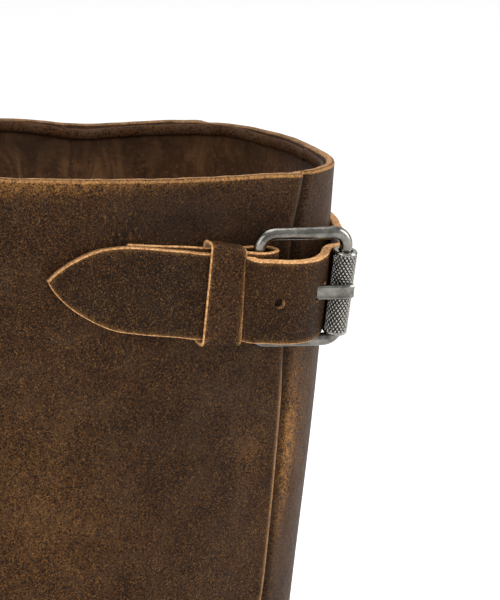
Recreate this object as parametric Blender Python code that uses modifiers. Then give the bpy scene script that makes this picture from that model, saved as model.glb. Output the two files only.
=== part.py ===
"""Left engineer boot: pull-on shaft, buckled top strap and instep strap, welted sole and stacked heel.

Metres, +Z up. The toe points to -X and the outer side of the foot faces -Y.
The origin is on the floor, under the middle of the heel.
"""

import math

import bmesh
import bpy
import numpy as np
from mathutils import Matrix, Vector

# Foot and last
LAST_LENGTH = 0.283
BALL_WIDTH = 0.098
HEEL_BACK_X = 0.037
INSTEP_HEIGHT = 0.151
ANKLE_HEIGHT = 0.143
TOE_SPRING = 0.010

# Shaft
COLLAR_HEIGHT = 0.312
COLLAR_DROP = 0.0085
COLLAR_LENGTH = 0.148
COLLAR_WIDTH = 0.097
WALL = 0.0024
SEAM_STEP = 0.0012
SEAM_RAMP = 0.0016
SEAM_LAP = 0.0120

# Sole
OUTSOLE_THICKNESS = 0.0090
WELT_THICKNESS = 0.0032
WELT_REACH = 0.0068
WELT_CLEARANCE = 0.0006
WELT_INSET = 0.0004
HEEL_REACH = 0.0036
HEEL_STACK_HEIGHT = 0.0230
TOP_LIFT_THICKNESS = 0.0070
HEEL_TAPER = 0.0022
HEEL_BREAST_X = -0.0340
BREAST_HOLLOW = 0.0040
INSOLE_THICKNESS = 0.0040
INSOLE_CLEARANCE = 0.0014

# Leather overlays
GAP = 0.0003
OVERLAY_THICKNESS = 0.0016

# Straps and their buckles
TOP_STRAP_WIDTH = 0.0240
TOP_STRAP_DROP = 0.0315
TOP_BAR_BEHIND = 0.0376
TOP_TIP_LENGTH = 0.0618
TOP_CHAPE_LENGTH = 0.0400
TOP_STANDOFF = 0.0050
INSTEP_STRAP_WIDTH = 0.0200
INSTEP_TIP_LENGTH = 0.0420
INSTEP_STANDOFF = 0.0008
STRAP_THICKNESS = 0.0025
STRAP_CLEARANCE = 0.0008
STRAP_POINT = 0.0240
STRAP_SETTLE = 0.0300
STRAP_STEP = 0.0062
STRAP_BEND_STEP = 0.0032
STRAP_END_MARGIN = 0.0020
CHAPE_THICKNESS = 0.0021
CHAPE_STEP = 0.0040
CHAPE_END_CLEARANCE = 0.0015
CHAPE_LAP = 0.0026
CHAPE_LAP_SINK = 0.0010
PRONG_SLOT_LENGTH = 0.0117
PRONG_SLOT_OFFSET = 0.0007
KEEPER_THICKNESS = 0.0016
KEEPER_WIDTH = 0.0110
KEEPER_CORNER = 0.0018
TOP_KEEPER_PLACE = 0.0133
INSTEP_KEEPER_PLACE = 0.0160
CHAPE_RISE = 0.0055
WIRE_RADIUS = 0.0018
SIDE_CLEARANCE = 0.0014
BUCKLE_LENGTH = 0.0270
BUCKLE_CORNER = 0.0040
ROLLER_WALL = 0.0013
PRONG_WIDTH = 0.0034
PRONG_THICKNESS = 0.0020
PRONG_CLEARANCE = 0.0004
PRONG_PAST_ROLLER = 0.0027
PRONG_TIP_DIP = 0.0006

FORE_Z = OUTSOLE_THICKNESS + GAP
HEEL_HEIGHT = HEEL_STACK_HEIGHT + TOP_LIFT_THICKNESS
SEAT_Z = HEEL_HEIGHT + GAP + OUTSOLE_THICKNESS + GAP
ROLLER_RADIUS = WIRE_RADIUS + GAP + ROLLER_WALL
BAR_SPACING = BUCKLE_LENGTH - 2 * WIRE_RADIUS

# Rings of the foot, from the feather edge up to the ankle.
# Reach is forward of the heel's back in last lengths, and rise a share of the height from the sole.
# Widest and the two square values shape the plain ring; foot is the share of the foot's own outline in it.
FOOT_RINGS = (
    # front reach, front rise, back reach, back rise, width, widest, front square, back square, foot, sag
    (1.000, 0.000, 0.000, 0.000, 1.000, 0.40, 2.3, 3.6, 1.00, 1.00),
    (1.009, 0.053, -0.009, 0.078, 1.030, 0.40, 2.4, 3.6, 1.00, 0.95),
    (1.005, 0.137, -0.016, 0.175, 0.970, 0.40, 2.4, 3.6, 0.80, 0.80),
    (0.975, 0.240, -0.017, 0.272, 0.890, 0.40, 2.4, 3.5, 0.45, 0.50),
    (0.912, 0.310, -0.013, 0.359, 0.820, 0.46, 2.2, 3.2, 0.15, 0.25),
    (0.822, 0.357, -0.008, 0.447, 0.790, 0.56, 2.0, 3.0, 0.00, 0.10),
    (0.724, 0.435, -0.003, 0.534, 0.784, 0.58, 1.9, 2.8, 0.00, 0.00),
    (0.632, 0.547, 0.003, 0.631, 0.776, 0.58, 1.9, 2.6, 0.00, 0.00),
    (0.555, 0.687, 0.008, 0.738, 0.770, 0.55, 2.0, 2.4, 0.00, 0.00),
    (0.500, 0.842, 0.011, 0.854, 0.772, 0.52, 2.1, 2.3, 0.00, 0.00),
    (0.466, 1.000, 0.011, 1.000, 0.780, 0.50, 2.2, 2.3, 0.00, 0.00),
)

# Rings of the shaft above the ankle: rise is a share of ankle to collar, length and width of the collar's.
SHAFT_RINGS = (
    # front rise, back rise, middle (in last lengths before the heel's back), length, width, square
    (0.152, 0.140, 0.2270, 0.857, 0.815, 2.35),
    (0.327, 0.310, 0.2215, 0.871, 0.856, 2.50),
    (0.540, 0.540, 0.2180, 0.909, 0.912, 2.65),
    (0.780, 0.770, 0.2190, 0.953, 0.962, 2.80),
    (1.000, 1.000, 0.2226, 1.000, 1.000, 2.90),
)

# The foot's outline from toe to heel, as shares of last length, of half the ball width and of ball width.
FOOT_OUTLINE = (
    # along, half width, middle (towards the inner side)
    (0.00, 0.90, 0.055),
    (0.15, 0.93, 0.040),
    (0.25, 0.975, 0.010),
    (0.33, 1.00, -0.010),
    (0.45, 0.93, -0.035),
    (0.60, 0.72, -0.050),
    (0.75, 0.66, -0.030),
    (0.87, 0.67, -0.005),
    (1.00, 0.66, 0.000),
)
TOE_ROUND, TOE_SQUARE = 0.27, 2.5
HEEL_ROUND, HEEL_SQUARE = 0.13, 2.2
SPRING_END, ARCH_START, ARCH_END = 0.27, 0.41, 0.76
WAIST_START, WAIST_END = 0.50, 0.70
SIDE_SEAM = 0.765

# The vamp's back edge and the counter's front edge, seen from the side, from the sole up.
# Reach is forward of the heel's back in last lengths, rise a share of the instep height.
VAMP_EDGE = (
    # reach, rise
    (0.330, 0.000),
    (0.335, 0.300),
    (0.365, 0.430),
    (0.420, 0.560),
    (0.480, 0.680),
    (0.530, 0.775),
    (0.580, 0.840),
    (0.680, 0.900),
)
COUNTER_EDGE = (
    # reach, rise
    (0.250, 0.000),
    (0.250, 0.300),
    (0.235, 0.420),
    (0.190, 0.540),
    (0.120, 0.640),
    (0.040, 0.700),
    (-0.080, 0.720),
)

VAMP_TOP_ROW, COUNTER_TOP_ROW = 9.5, 8.0

# The top strap's line round the shaft, from the front of the outer side over the back to the inner side.
TOP_STRAP_LINE = (
    # turn, drop below the collar as a share of TOP_STRAP_DROP
    (-0.28, 0.850),
    (-0.45, 0.925),
    (-0.62, 0.995),
    (-0.79, 0.960),
    (-0.96, 0.860),
    (-1.20, 0.857),
    (-1.62, 0.857),
)

# The instep strap's line over the upper, from the outer sole edge over the instep to the inner one.
INSTEP_STRAP_TOP_ROW = 8.5
INSTEP_STRAP_END_ROW = 1.45
INSTEP_STRAP_END_TURN = 0.60
INSTEP_STRAP_ROUND = 1.7
INSTEP_BAR_TURN = -0.345

# A strap's pointed end: where its rows lie, and how blunt and how square the point is.
POINT_ROWS = (0.0, 0.0625, 0.167, 0.333, 0.54)
POINT_BLUNT, POINT_SQUARE = 0.02, 1.9

# The strap's way through its buckle, over the bar and under the roller.
STRAP_IN_BUCKLE = (
    # along as a share of the bar spacing, sunk as a share of the way from over the bar to under the roller
    (-0.162, 0.056),
    (0.043, -0.019),
    (0.265, 0.037),
    (0.449, 0.206),
    (0.598, 0.467),
    (0.726, 0.757),
    (0.855, 0.907),
    (1.043, 1.019),
)
HOLE_MIDDLE = 0.55
KEEPER_ROWS = (-1.2, -0.3, 0.5, 1.0)
FOLD_TURN = 105

# The prong: its eye round the bar, in degrees from the way to the roller, and its arm up onto the roller.
EYE_START, EYE_END, EYE_STEPS = -15, -270, 8
PRONG_ARM = (
    # along as a share of the bar spacing, lift as a share of the way from the eye to the roller
    (0.25, 0.30),
    (0.50, 0.62),
    (0.75, 0.90),
    (1.00, 1.00),
)

TOP_ROW = len(FOOT_RINGS) + len(SHAFT_RINGS) - 1
ANKLE_ROW = len(FOOT_RINGS) - 1
ROW_STEPS = 8
TURN_STEPS = 120
RING_SAMPLES = 200
COLUMNS_AHEAD, COLUMNS_BEHIND, SHAFT_STEPS = 15, 6, 8
SOLE_ROWS = 1.5
SOLE_TIP = 0.012
HEEL_TURN, HEEL_STEPS, BREAST_STEPS = 0.3, 13, 8
OVER_LAP_REACH = 2.2


def smooth_table(rows, at):
    """Catmull-Rom through evenly spaced rows of numbers, at a row position."""
    at = min(max(at, 0.0), len(rows) - 1.0)
    i = min(int(at), len(rows) - 2)
    t = at - i
    a, b = rows[i], rows[i + 1]
    before = rows[i - 1] if i else 2 * a - b
    after = rows[i + 2] if i + 2 < len(rows) else 2 * b - a
    curve = (3 * a - before - 3 * b + after) * t**3 + (2 * before - 5 * a + 4 * b - after) * t**2
    return (2 * a + (b - before) * t + curve) / 2


def smoothstep(t):
    t = np.clip(t, 0.0, 1.0)
    return t * t * (3 - 2 * t)


def unit(vectors):
    return vectors / np.linalg.norm(vectors, axis=-1, keepdims=True)


def run_length(points):
    """Length of a line of points up to each of them."""
    steps = np.linalg.norm(np.diff(points, axis=0), axis=1)
    return np.concatenate([[0.0], np.cumsum(steps)])


def feather_z(along):
    """Height of the upper's bottom edge, at a share of the last from toe (0) to heel (1)."""
    along = np.asarray(along, float)
    spring = np.maximum(0.0, 1 - along / SPRING_END) ** 2
    arch = smoothstep((along - ARCH_START) / (ARCH_END - ARCH_START))
    return FORE_Z + TOE_SPRING * spring + (SEAT_Z - FORE_Z) * arch


def along_at(x):
    """Share of the last from toe to heel at a place along X."""
    return (x - HEEL_BACK_X + LAST_LENGTH) / LAST_LENGTH


def ring_rows():
    """Each ring as lengths: front x and z, back x and z, half width, widest, two squares, foot, sag."""
    toe_z = float(feather_z(0.0))
    rows = []
    for reach, rise, back, back_rise, width, widest, front_sq, back_sq, foot, sag in FOOT_RINGS:
        front = (HEEL_BACK_X - reach * LAST_LENGTH, toe_z + rise * (INSTEP_HEIGHT - toe_z))
        behind = (HEEL_BACK_X - back * LAST_LENGTH, SEAT_Z + back_rise * (ANKLE_HEIGHT - SEAT_Z))
        rows.append((*front, *behind, width * BALL_WIDTH / 2, widest, front_sq, back_sq, foot, sag))
    collar_front = COLLAR_HEIGHT + COLLAR_DROP / 2
    collar_back = COLLAR_HEIGHT - COLLAR_DROP / 2
    for rise, back_rise, middle, length, width, square in SHAFT_RINGS:
        middle_x = HEEL_BACK_X - middle * LAST_LENGTH
        half = length * COLLAR_LENGTH / 2
        front = (middle_x - half, INSTEP_HEIGHT + rise * (collar_front - INSTEP_HEIGHT))
        behind = (middle_x + half, ANKLE_HEIGHT + back_rise * (collar_back - ANKLE_HEIGHT))
        rows.append((*front, *behind, width * COLLAR_WIDTH / 2, 0.5, square, square, 0.0, 0.0))
    return np.array(rows)


def foot_outline(along):
    """Half width of the foot as a share of its widest, and its middle as a share of the ball width."""
    table = np.array(FOOT_OUTLINE)
    place = np.interp(along, table[:, 0], np.arange(len(table)))
    rows = np.array([smooth_table(table, at) for at in place])
    toe = (1 - np.clip(1 - along / TOE_ROUND, 0, 1) ** TOE_SQUARE) ** (1 / TOE_SQUARE)
    heel = (1 - np.clip(1 - (1 - along) / HEEL_ROUND, 0, 1) ** HEEL_SQUARE) ** (1 / HEEL_SQUARE)
    return rows[:, 1] * toe * heel, rows[:, 2]


ALONG = (1 - np.cos(np.linspace(0, math.pi, RING_SAMPLES))) / 2
OUTLINE_HALF, OUTLINE_MIDDLE = foot_outline(ALONG)
RING_TABLE = ring_rows()


def half_ring(row, side, shares):
    """Points of one side of a ring (side -1 is the outer side) at shares of its length from the front."""
    ring = smooth_table(RING_TABLE, row)
    front_x, front_z, back_x, back_z, half, widest, front_sq, back_sq, foot, sag = ring
    before = np.clip((widest - ALONG) / widest, 0, 1)
    behind = np.clip((ALONG - widest) / (1 - widest), 0, 1)
    front_half = (1 - before**front_sq) ** (1 / front_sq)
    back_half = (1 - behind**back_sq) ** (1 / back_sq)
    plain = np.where(ALONG < widest, front_half, back_half)
    foot = min(max(foot, 0.0), 1.0)
    width = half * (foot * OUTLINE_HALF + (1 - foot) * plain)
    lean = 1 - smoothstep(row / ANKLE_ROW)
    chord = feather_z(0.0) + (feather_z(1.0) - feather_z(0.0)) * ALONG
    x = front_x + (back_x - front_x) * ALONG
    y = side * width + lean * OUTLINE_MIDDLE * BALL_WIDTH
    z = front_z + (back_z - front_z) * ALONG + sag * (feather_z(ALONG) - chord)
    points = np.stack([x, y, z], axis=-1)
    run = run_length(points)
    at = np.asarray(shares) * run[-1]
    return np.stack([np.interp(at, run, points[:, k]) for k in range(3)], axis=-1)


def surface_grid():
    """Points of the plain outer face on a fine grid of rows and turns, and the outward normals there.

    A turn is -1 at the back, goes over the outer side to 0 in front, and over the inner side to 1.
    """
    rows = np.arange(TOP_ROW * ROW_STEPS + 1) / ROW_STEPS
    shares = np.arange(TURN_STEPS + 1) / TURN_STEPS
    points = []
    for row in rows:
        outer = half_ring(row, -1, shares)[::-1]
        inner = half_ring(row, 1, shares)[1:]
        points.append(np.concatenate([outer, inner]))
    points = np.array(points)
    round_way = np.concatenate([points[:, -2:-1], points, points[:, 1:2]], axis=1)
    by_turn = round_way[:, 2:] - round_way[:, :-2]
    by_row = np.gradient(points, axis=0)
    by_row[0] = by_row[-1] = (0.0, 0.0, 1.0)
    return points, unit(np.cross(by_row, by_turn))


FACE_POINTS, FACE_NORMALS = surface_grid()


def surface(row, turn, out=0.0):
    """Points of the plain outer face at rows and turns, moved out along its normals."""
    row, turn, out = np.broadcast_arrays(np.asarray(row, float), np.asarray(turn, float), out)
    i = np.clip(row * ROW_STEPS, 0, TOP_ROW * ROW_STEPS)
    j = ((turn + 1) % 2) * TURN_STEPS
    i0 = np.minimum(i.astype(int), TOP_ROW * ROW_STEPS - 1)
    j0 = np.minimum(j.astype(int), 2 * TURN_STEPS - 1)
    a, b = (i - i0)[..., None], (j - j0)[..., None]

    def blend(grid):
        low = grid[i0, j0] * (1 - b) + grid[i0, j0 + 1] * b
        high = grid[i0 + 1, j0] * (1 - b) + grid[i0 + 1, j0 + 1] * b
        return low * (1 - a) + high * a

    return blend(FACE_POINTS) + unit(blend(FACE_NORMALS)) * out[..., None]


HALF_GIRTH = float(run_length(surface(TOP_ROW, np.linspace(0, 1, RING_SAMPLES)))[-1])


def from_side_seam(turn):
    """Distance from the nearer side seam, positive behind it, in metres at the collar."""
    around = np.abs((np.asarray(turn, float) + 1) % 2 - 1)
    return (around - SIDE_SEAM) * HALF_GIRTH


def lap(turn):
    """How far the front panel stands out where it laps over the back panel at a side seam."""
    distance = from_side_seam(turn)
    ahead = smoothstep(1 + distance / SEAM_LAP)
    return SEAM_STEP * np.where(distance > 0, smoothstep(1 - distance / SEAM_RAMP), ahead)


def over_lap(turn):
    """The rise of a strap where it crosses a side seam."""
    distance = from_side_seam(turn)
    return SEAM_STEP * smoothstep(OVER_LAP_REACH - np.abs(distance + SEAM_LAP / 3) / SEAM_LAP)


def face(row, turn, out=0.0):
    """Points of the upper's outer face, with the lap of its side seams."""
    return surface(row, turn, lap(turn) + out)


def column_turns():
    """Turns of the upper's columns: even ones, and close ones at the side seams."""
    lap_share, ramp_share = SEAM_LAP / HALF_GIRTH, SEAM_RAMP / HALF_GIRTH
    ahead = np.linspace(0, SIDE_SEAM - lap_share, COLUMNS_AHEAD)
    seam = [SIDE_SEAM - lap_share / 2, SIDE_SEAM, SIDE_SEAM + ramp_share]
    behind = np.linspace(SIDE_SEAM + ramp_share, 1, COLUMNS_BEHIND)[1:]
    half = np.concatenate([ahead, seam, behind])
    return np.concatenate([-half[:0:-1], half[:-1]])


def row_above_sole(turn, height):
    """The row at which the upper's face is a height above the sole's edge."""
    rows = np.linspace(0, SOLE_ROWS, 40)
    points = surface(rows, turn)
    return float(np.interp(height, points[:, 2] - feather_z(along_at(points[:, 0])), rows))


COLUMNS = column_turns()
FOOT_ROWS = np.arange(1, ANKLE_ROW + 0.01, 0.5)
SHAFT_ROWS = np.linspace(ANKLE_ROW, TOP_ROW, SHAFT_STEPS)[1:]


def overlay_rows(turn):
    """Rows of a column from just above the welt to the collar."""
    start = row_above_sole(turn, WELT_THICKNESS + 2 * GAP + OVERLAY_THICKNESS / 2)
    return np.concatenate([[start], FOOT_ROWS, SHAFT_ROWS])


def new_collection(name):
    collection = bpy.data.collections.new(name)
    bpy.context.scene.collection.children.link(collection)
    return collection


def clear_scene():
    for old in list(bpy.data.objects):
        bpy.data.objects.remove(old, do_unlink=True)
    for old in list(bpy.data.collections):
        bpy.data.collections.remove(old)


clear_scene()
BOOT = new_collection("engineer_boot")
CUTTERS = new_collection("cutters")


def material(name, colour, roughness, metallic=0.0):
    made = bpy.data.materials.new(name)
    made.use_nodes = True
    shader = made.node_tree.nodes["Principled BSDF"]
    shader.inputs["Base Color"].default_value = (*colour, 1.0)
    shader.inputs["Roughness"].default_value = roughness
    shader.inputs["Metallic"].default_value = metallic
    made.diffuse_color = (*colour, 1.0)
    return made


BROWN = (0.085, 0.050, 0.028)
DARK_BROWN = (0.045, 0.026, 0.015)
TAN = (0.42, 0.24, 0.11)
PEWTER = (0.36, 0.35, 0.33)
BLACK = (0.016, 0.015, 0.014)


def add_object(name, data, collection, look=None):
    made = bpy.data.objects.new(name, data)
    collection.objects.link(made)
    if look:
        data.materials.append(material(name, *look))
    return made


def mesh_object(name, points, faces, look, collection=BOOT):
    """An object from points and faces, with its faces turned out and its round parts shaded smooth."""
    mesh = bpy.data.meshes.new(name)
    mesh.from_pydata([tuple(map(float, point)) for point in points], [], [tuple(face) for face in faces])
    work = bmesh.new()
    work.from_mesh(mesh)
    bmesh.ops.remove_doubles(work, verts=work.verts, dist=1e-6)
    bmesh.ops.recalc_face_normals(work, faces=work.faces)
    work.to_mesh(mesh)
    work.free()
    mesh.shade_smooth()
    mesh.set_sharp_from_angle(angle=math.radians(40))
    return add_object(name, mesh, collection, look)


def loft(loops, closed=False, folded=False):
    """Points and faces through loops of as many points each, its ends capped or joined to each other.

    Folded loops go out on one face and back on the other, and both faces get the same triangles.
    """
    count = len(loops[0])
    faces = []
    for i in range(len(loops) - (not closed)):
        here, there = i * count, (i + 1) % len(loops) * count
        for j in range(count):
            k = (j + 1) % count
            corners = (here + j, here + k, there + k, there + j)
            if not folded:
                faces.append(corners)
                continue
            a, b, c, d = corners if j < count // 2 else corners[1:] + corners[:1]
            faces += [(a, b, c), (a, c, d)]
    if not closed:
        faces.append(range(count))
        faces.append(range((len(loops) - 1) * count, len(loops) * count))
    return np.concatenate(loops), faces


def sheet(name, grid, thickness, look, closed=False, side=0.0):
    """A strip of leather or metal: an open grid of points with Solidify, closed round where it is a loop."""
    grid = np.asarray(grid)
    count, width = grid.shape[:2]
    faces = []
    for i in range(count - (not closed)):
        here, there = i * width, (i + 1) % count * width
        for j in range(width - 1):
            faces.append((here + j, here + j + 1, there + j + 1, there + j))
    strip = mesh_object(name, grid.reshape(-1, 3), faces, look)
    solidify = strip.modifiers.new("thickness", "SOLIDIFY")
    solidify.thickness = thickness
    solidify.offset = side
    return strip


def cut(target, cutter, operation="DIFFERENCE"):
    boolean = target.modifiers.new(cutter.name, "BOOLEAN")
    boolean.operation = operation
    boolean.solver = "EXACT"
    boolean.object = cutter


def as_cutter(item):
    item.hide_render = True
    item.display_type = "WIRE"
    return item


def prism(name, outline, half_depth):
    """A cutter with an outline of (x, z) points, as deep to each side of the middle."""
    work = bmesh.new()
    corners = [work.verts.new((x, -half_depth, z)) for x, z in outline]
    base = work.faces.new(corners)
    grown = bmesh.ops.extrude_face_region(work, geom=[base])
    moved = [item for item in grown["geom"] if isinstance(item, bmesh.types.BMVert)]
    bmesh.ops.translate(work, verts=moved, vec=(0, 2 * half_depth, 0))
    bmesh.ops.recalc_face_normals(work, faces=work.faces)
    mesh = bpy.data.meshes.new(name)
    work.to_mesh(mesh)
    work.free()
    return as_cutter(add_object(name, mesh, CUTTERS))


def box_cutter(name, centre, axes, size):
    """A box with its own axes, as rows of a matrix, and its size along each."""
    mesh = bpy.data.meshes.new(name)
    work = bmesh.new()
    turn = Matrix([Vector(axis) for axis in axes]).transposed().to_4x4()
    scale = Matrix.Diagonal((*size, 1.0))
    bmesh.ops.create_cube(work, size=1.0, matrix=Matrix.Translation(centre) @ turn @ scale)
    bmesh.ops.recalc_face_normals(work, faces=work.faces)
    work.to_mesh(mesh)
    work.free()
    return as_cutter(add_object(name, mesh, CUTTERS))


def shell(column_rows, inner, outer):
    """Loops for a shell round the whole upper between two faces, each a function of rows and a turn."""
    loops = []
    for turn in COLUMNS:
        rows = column_rows(turn)
        loops.append(np.concatenate([outer(rows, turn), inner(rows, turn)[::-1]]))
    return loops


def build_upper():
    """One hollow wall from the feather edge to the collar, open above and underneath."""
    loops = shell(
        lambda turn: np.concatenate([[0.0], overlay_rows(turn)]),
        lambda rows, turn: surface(rows, turn, -WALL),
        face,
    )
    mesh_object("upper", *loft(loops, closed=True, folded=True), (BROWN, 0.5))


def smooth_edge(table, samples=4):
    """An edge table as (x, z) points on a smooth line."""
    rows = np.array(table)
    places = np.linspace(0, len(rows) - 1, (len(rows) - 1) * samples + 1)
    line = np.array([smooth_table(rows, at) for at in places])
    return np.stack([HEEL_BACK_X - line[:, 0] * LAST_LENGTH, line[:, 1] * INSTEP_HEIGHT], axis=-1)


def build_overlay(name, top_row, outline):
    """A leather overlay, cut out of a thin shell round the upper by its outline from the side."""
    count = int(np.sum(FOOT_ROWS <= top_row)) + 1
    loops = shell(
        lambda turn: overlay_rows(turn)[:count],
        lambda rows, turn: face(rows, turn, GAP),
        lambda rows, turn: face(rows, turn, GAP + OVERLAY_THICKNESS),
    )
    overlay = mesh_object(name, *loft(loops, closed=True, folded=True), (BROWN, 0.5))
    cut(overlay, prism(f"{name}_outline", outline, BALL_WIDTH), "INTERSECT")


def build_vamp():
    edge = smooth_edge(VAMP_EDGE)
    front = HEEL_BACK_X - LAST_LENGTH - BALL_WIDTH / 2
    outline = [*edge, (front, edge[-1][1]), (front, edge[0][1])]
    build_overlay("vamp", VAMP_TOP_ROW, outline)


def build_counter():
    edge = smooth_edge(COUNTER_EDGE)
    outline = [*edge, (edge[-1][0], edge[0][1])]
    build_overlay("heel_counter", COUNTER_TOP_ROW, outline[::-1])


def reach_at(along):
    """How far the sole's edge stands out from the upper's bottom edge."""
    behind = smoothstep((along - WAIST_START) / (WAIST_END - WAIST_START))
    return WELT_REACH + (HEEL_REACH - WELT_REACH) * behind


def sole_edge(turn, reach):
    """Points of the upper's bottom edge, moved outward level by a reach, and at the feather height."""
    points = surface(0, turn, reach)
    points[..., 2] = feather_z(along_at(points[..., 0]))
    return points


def sole_turns():
    """Turns along one side of the sole, from just inside the toe's tip to just inside the heel's."""
    inside = COLUMNS[COLUMNS > 0]
    return np.concatenate([[SOLE_TIP, 2 * SOLE_TIP], inside, [1 - 2 * SOLE_TIP, 1 - SOLE_TIP]])


def plate(name, reach, low, high, look):
    """A sole layer between two heights measured from the feather line."""
    loops = []
    for turn in sole_turns():
        edges = []
        for side in (-1, 1):
            place = along_at(float(surface(0, side * turn)[0]))
            edges.append(sole_edge(side * turn, float(reach(place))))
        outer, inner = edges
        up = np.array([0, 0, 1.0])
        middle = (outer + inner) / 2
        middle[2] = feather_z(along_at(middle[0]))
        line = [outer, middle, inner]
        loops.append(np.array([p + low * up for p in line] + [p + high * up for p in line[::-1]]))
    mesh_object(name, *loft(loops), look)


def build_outsole():
    plate("outsole", reach_at, -GAP - OUTSOLE_THICKNESS, -GAP, (DARK_BROWN, 0.6))


def build_insole():
    inside = -(WALL + INSOLE_CLEARANCE)
    plate("insole", lambda along: inside, 0.0, INSOLE_THICKNESS, (TAN, 0.7))


def build_welt():
    """A flat strip round the upper's bottom edge, on the outsole."""
    loops = []
    for turn in COLUMNS:
        reach = float(reach_at(along_at(float(surface(0, turn)[0]))))
        inner_low = sole_edge(turn, WELT_CLEARANCE + lap(turn))
        inner_high = face(row_above_sole(turn, WELT_THICKNESS), turn, WELT_CLEARANCE)
        outer = sole_edge(turn, reach - WELT_INSET)
        inner_high[2] = feather_z(along_at(inner_high[0])) + WELT_THICKNESS
        outer_high = outer + (0, 0, WELT_THICKNESS)
        loops.append(np.array([inner_low, outer, outer_high, inner_high]))
    mesh_object("welt", *loft(loops, closed=True), (DARK_BROWN, 0.5))


def heel_outline(z):
    """The heel's outline at a height: round the back, tapering down, with a hollow breast."""
    reach = HEEL_REACH - HEEL_TAPER * (1 - z / HEEL_HEIGHT)
    turns = np.linspace(HEEL_TURN, 1, 2 * RING_SAMPLES)
    points = []
    for side in (-1, 1):
        line = sole_edge(side * turns, reach)
        start = np.interp(HEEL_BREAST_X, line[:, 0], turns)
        shares = start + (1 - start) * np.linspace(0, 1, HEEL_STEPS)
        points.append(sole_edge(side * shares, reach))
    outer, inner = points
    corner, other = outer[0], inner[0]
    share = np.linspace(0, 1, BREAST_STEPS)[1:-1, None]
    breast = other + (corner - other) * share
    breast[:, 0] += BREAST_HOLLOW * np.sin(math.pi * share[:, 0])
    ring = np.concatenate([outer, inner[-2::-1], breast])
    ring[:, 2] = z
    return ring


def build_heel():
    """The stacked heel under the outsole, and the rubber top lift that it stands on."""
    low, high = TOP_LIFT_THICKNESS + GAP, HEEL_HEIGHT
    mesh_object("heel_stack", *loft([heel_outline(low), heel_outline(high)]), (DARK_BROWN, 0.55))
    mesh_object("top_lift", *loft([heel_outline(0.0), heel_outline(TOP_LIFT_THICKNESS)]), (BLACK, 0.7))


class Seat:
    """The line that a strap follows over the upper, with places along, across and out from it."""

    def __init__(self, rows, turns, bar_turn):
        self.rows, self.turns = np.asarray(rows), np.asarray(turns)
        line = surface(self.rows, self.turns)
        run = run_length(line)
        way = np.sign(self.turns[-1] - self.turns[0])
        self.run = run - np.interp(way * bar_turn, way * self.turns, run)
        step = 0.02
        by_row = surface(self.rows + step, self.turns) - surface(self.rows - step, self.turns)
        by_turn = surface(self.rows, self.turns + step) - surface(self.rows, self.turns - step)
        by_row, by_turn = by_row / (2 * step), by_turn / (2 * step)
        self.normal = unit(np.cross(by_row, by_turn))
        tangent = unit(np.gradient(line, run, axis=0))
        self.across = unit(np.cross(tangent, self.normal))
        rr = np.sum(by_row * by_row, axis=-1)
        rt = np.sum(by_row * by_turn, axis=-1)
        tt = np.sum(by_turn * by_turn, axis=-1)
        ra = np.sum(by_row * self.across, axis=-1)
        ta = np.sum(by_turn * self.across, axis=-1)
        size = rr * tt - rt * rt
        self.row_step = (ra * tt - ta * rt) / size
        self.turn_step = (ta * rr - ra * rt) / size

    def at(self, along, across, out):
        """A place: along from the buckle's bar, across from the middle, and out from the upper."""
        row, turn, row_step, turn_step = (
            np.interp(along, self.run, values)
            for values in (self.rows, self.turns, self.row_step, self.turn_step)
        )
        turn = turn + across * turn_step
        return surface(row + across * row_step, turn, out + over_lap(turn))

    def direction(self, along):
        """The way across at a place along."""
        return unit(np.array([np.interp(along, self.run, self.across[:, k]) for k in range(3)]))


def refine(rows, step):
    """More rows between rows of points, on smooth curves, wherever two are further apart than a step."""
    rows = np.asarray(rows)
    flat = rows.reshape(len(rows), -1)
    middle = rows[:, rows.shape[1] // 2]
    made = []
    for i in range(len(rows) - 1):
        count = max(1, round(float(np.linalg.norm(middle[i + 1] - middle[i])) / step))
        made += [smooth_table(flat, i + k / count) for k in range(count)]
    made.append(flat[-1])
    return np.array(made).reshape(-1, *rows.shape[1:])


class Buckle:
    """A roller buckle's place: bar, roller bar and the directions along, up and out of its frame."""

    def __init__(self, seat, strap_width, standoff, base, keeper):
        self.seat, self.strap_width, self.base, self.keeper = seat, strap_width, base, keeper
        self.bar_out = base + CHAPE_THICKNESS + GAP + WIRE_RADIUS
        self.roller_out = base + STRAP_THICKNESS + GAP + ROLLER_RADIUS + standoff
        self.bar = seat.at(0.0, 0.0, self.bar_out)
        low, high = 0.5 * BAR_SPACING, 1.5 * BAR_SPACING
        for _ in range(40):
            middle = (low + high) / 2
            gap = np.linalg.norm(seat.at(middle, 0.0, self.roller_out) - self.bar)
            low, high = (middle, high) if gap < BAR_SPACING else (low, middle)
        self.roller_along = low
        self.roller = seat.at(low, 0.0, self.roller_out)
        self.along = unit(self.roller - self.bar)
        across = seat.direction(low / 2)
        self.up = unit(across - self.along * np.dot(across, self.along))
        self.out = np.cross(self.up, self.along)
        if np.dot(self.out, self.bar - seat.at(0.0, 0.0, 0.0)) < 0:
            self.out = -self.out
        self.half_height = strap_width / 2 + SIDE_CLEARANCE + WIRE_RADIUS

    def at(self, along, up, out):
        """A place in the buckle's own frame, from the middle of its bar."""
        return self.bar + along * self.along + up * self.up + out * self.out


def frame_path(buckle):
    """The middle of the frame's wire: a rectangle with round corners."""
    centre = BAR_SPACING / 2
    half_length, half_height = BAR_SPACING / 2, buckle.half_height
    points = []
    for quarter in range(4):
        sign_along = 1 if quarter in (0, 3) else -1
        sign_up = 1 if quarter < 2 else -1
        corner_along = centre + sign_along * (half_length - BUCKLE_CORNER)
        corner_up = sign_up * (half_height - BUCKLE_CORNER)
        for k in range(5):
            angle = math.pi / 2 * (quarter + k / 4)
            along = corner_along + BUCKLE_CORNER * math.cos(angle)
            points.append(buckle.at(along, corner_up + BUCKLE_CORNER * math.sin(angle), 0.0))
    return points


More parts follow.
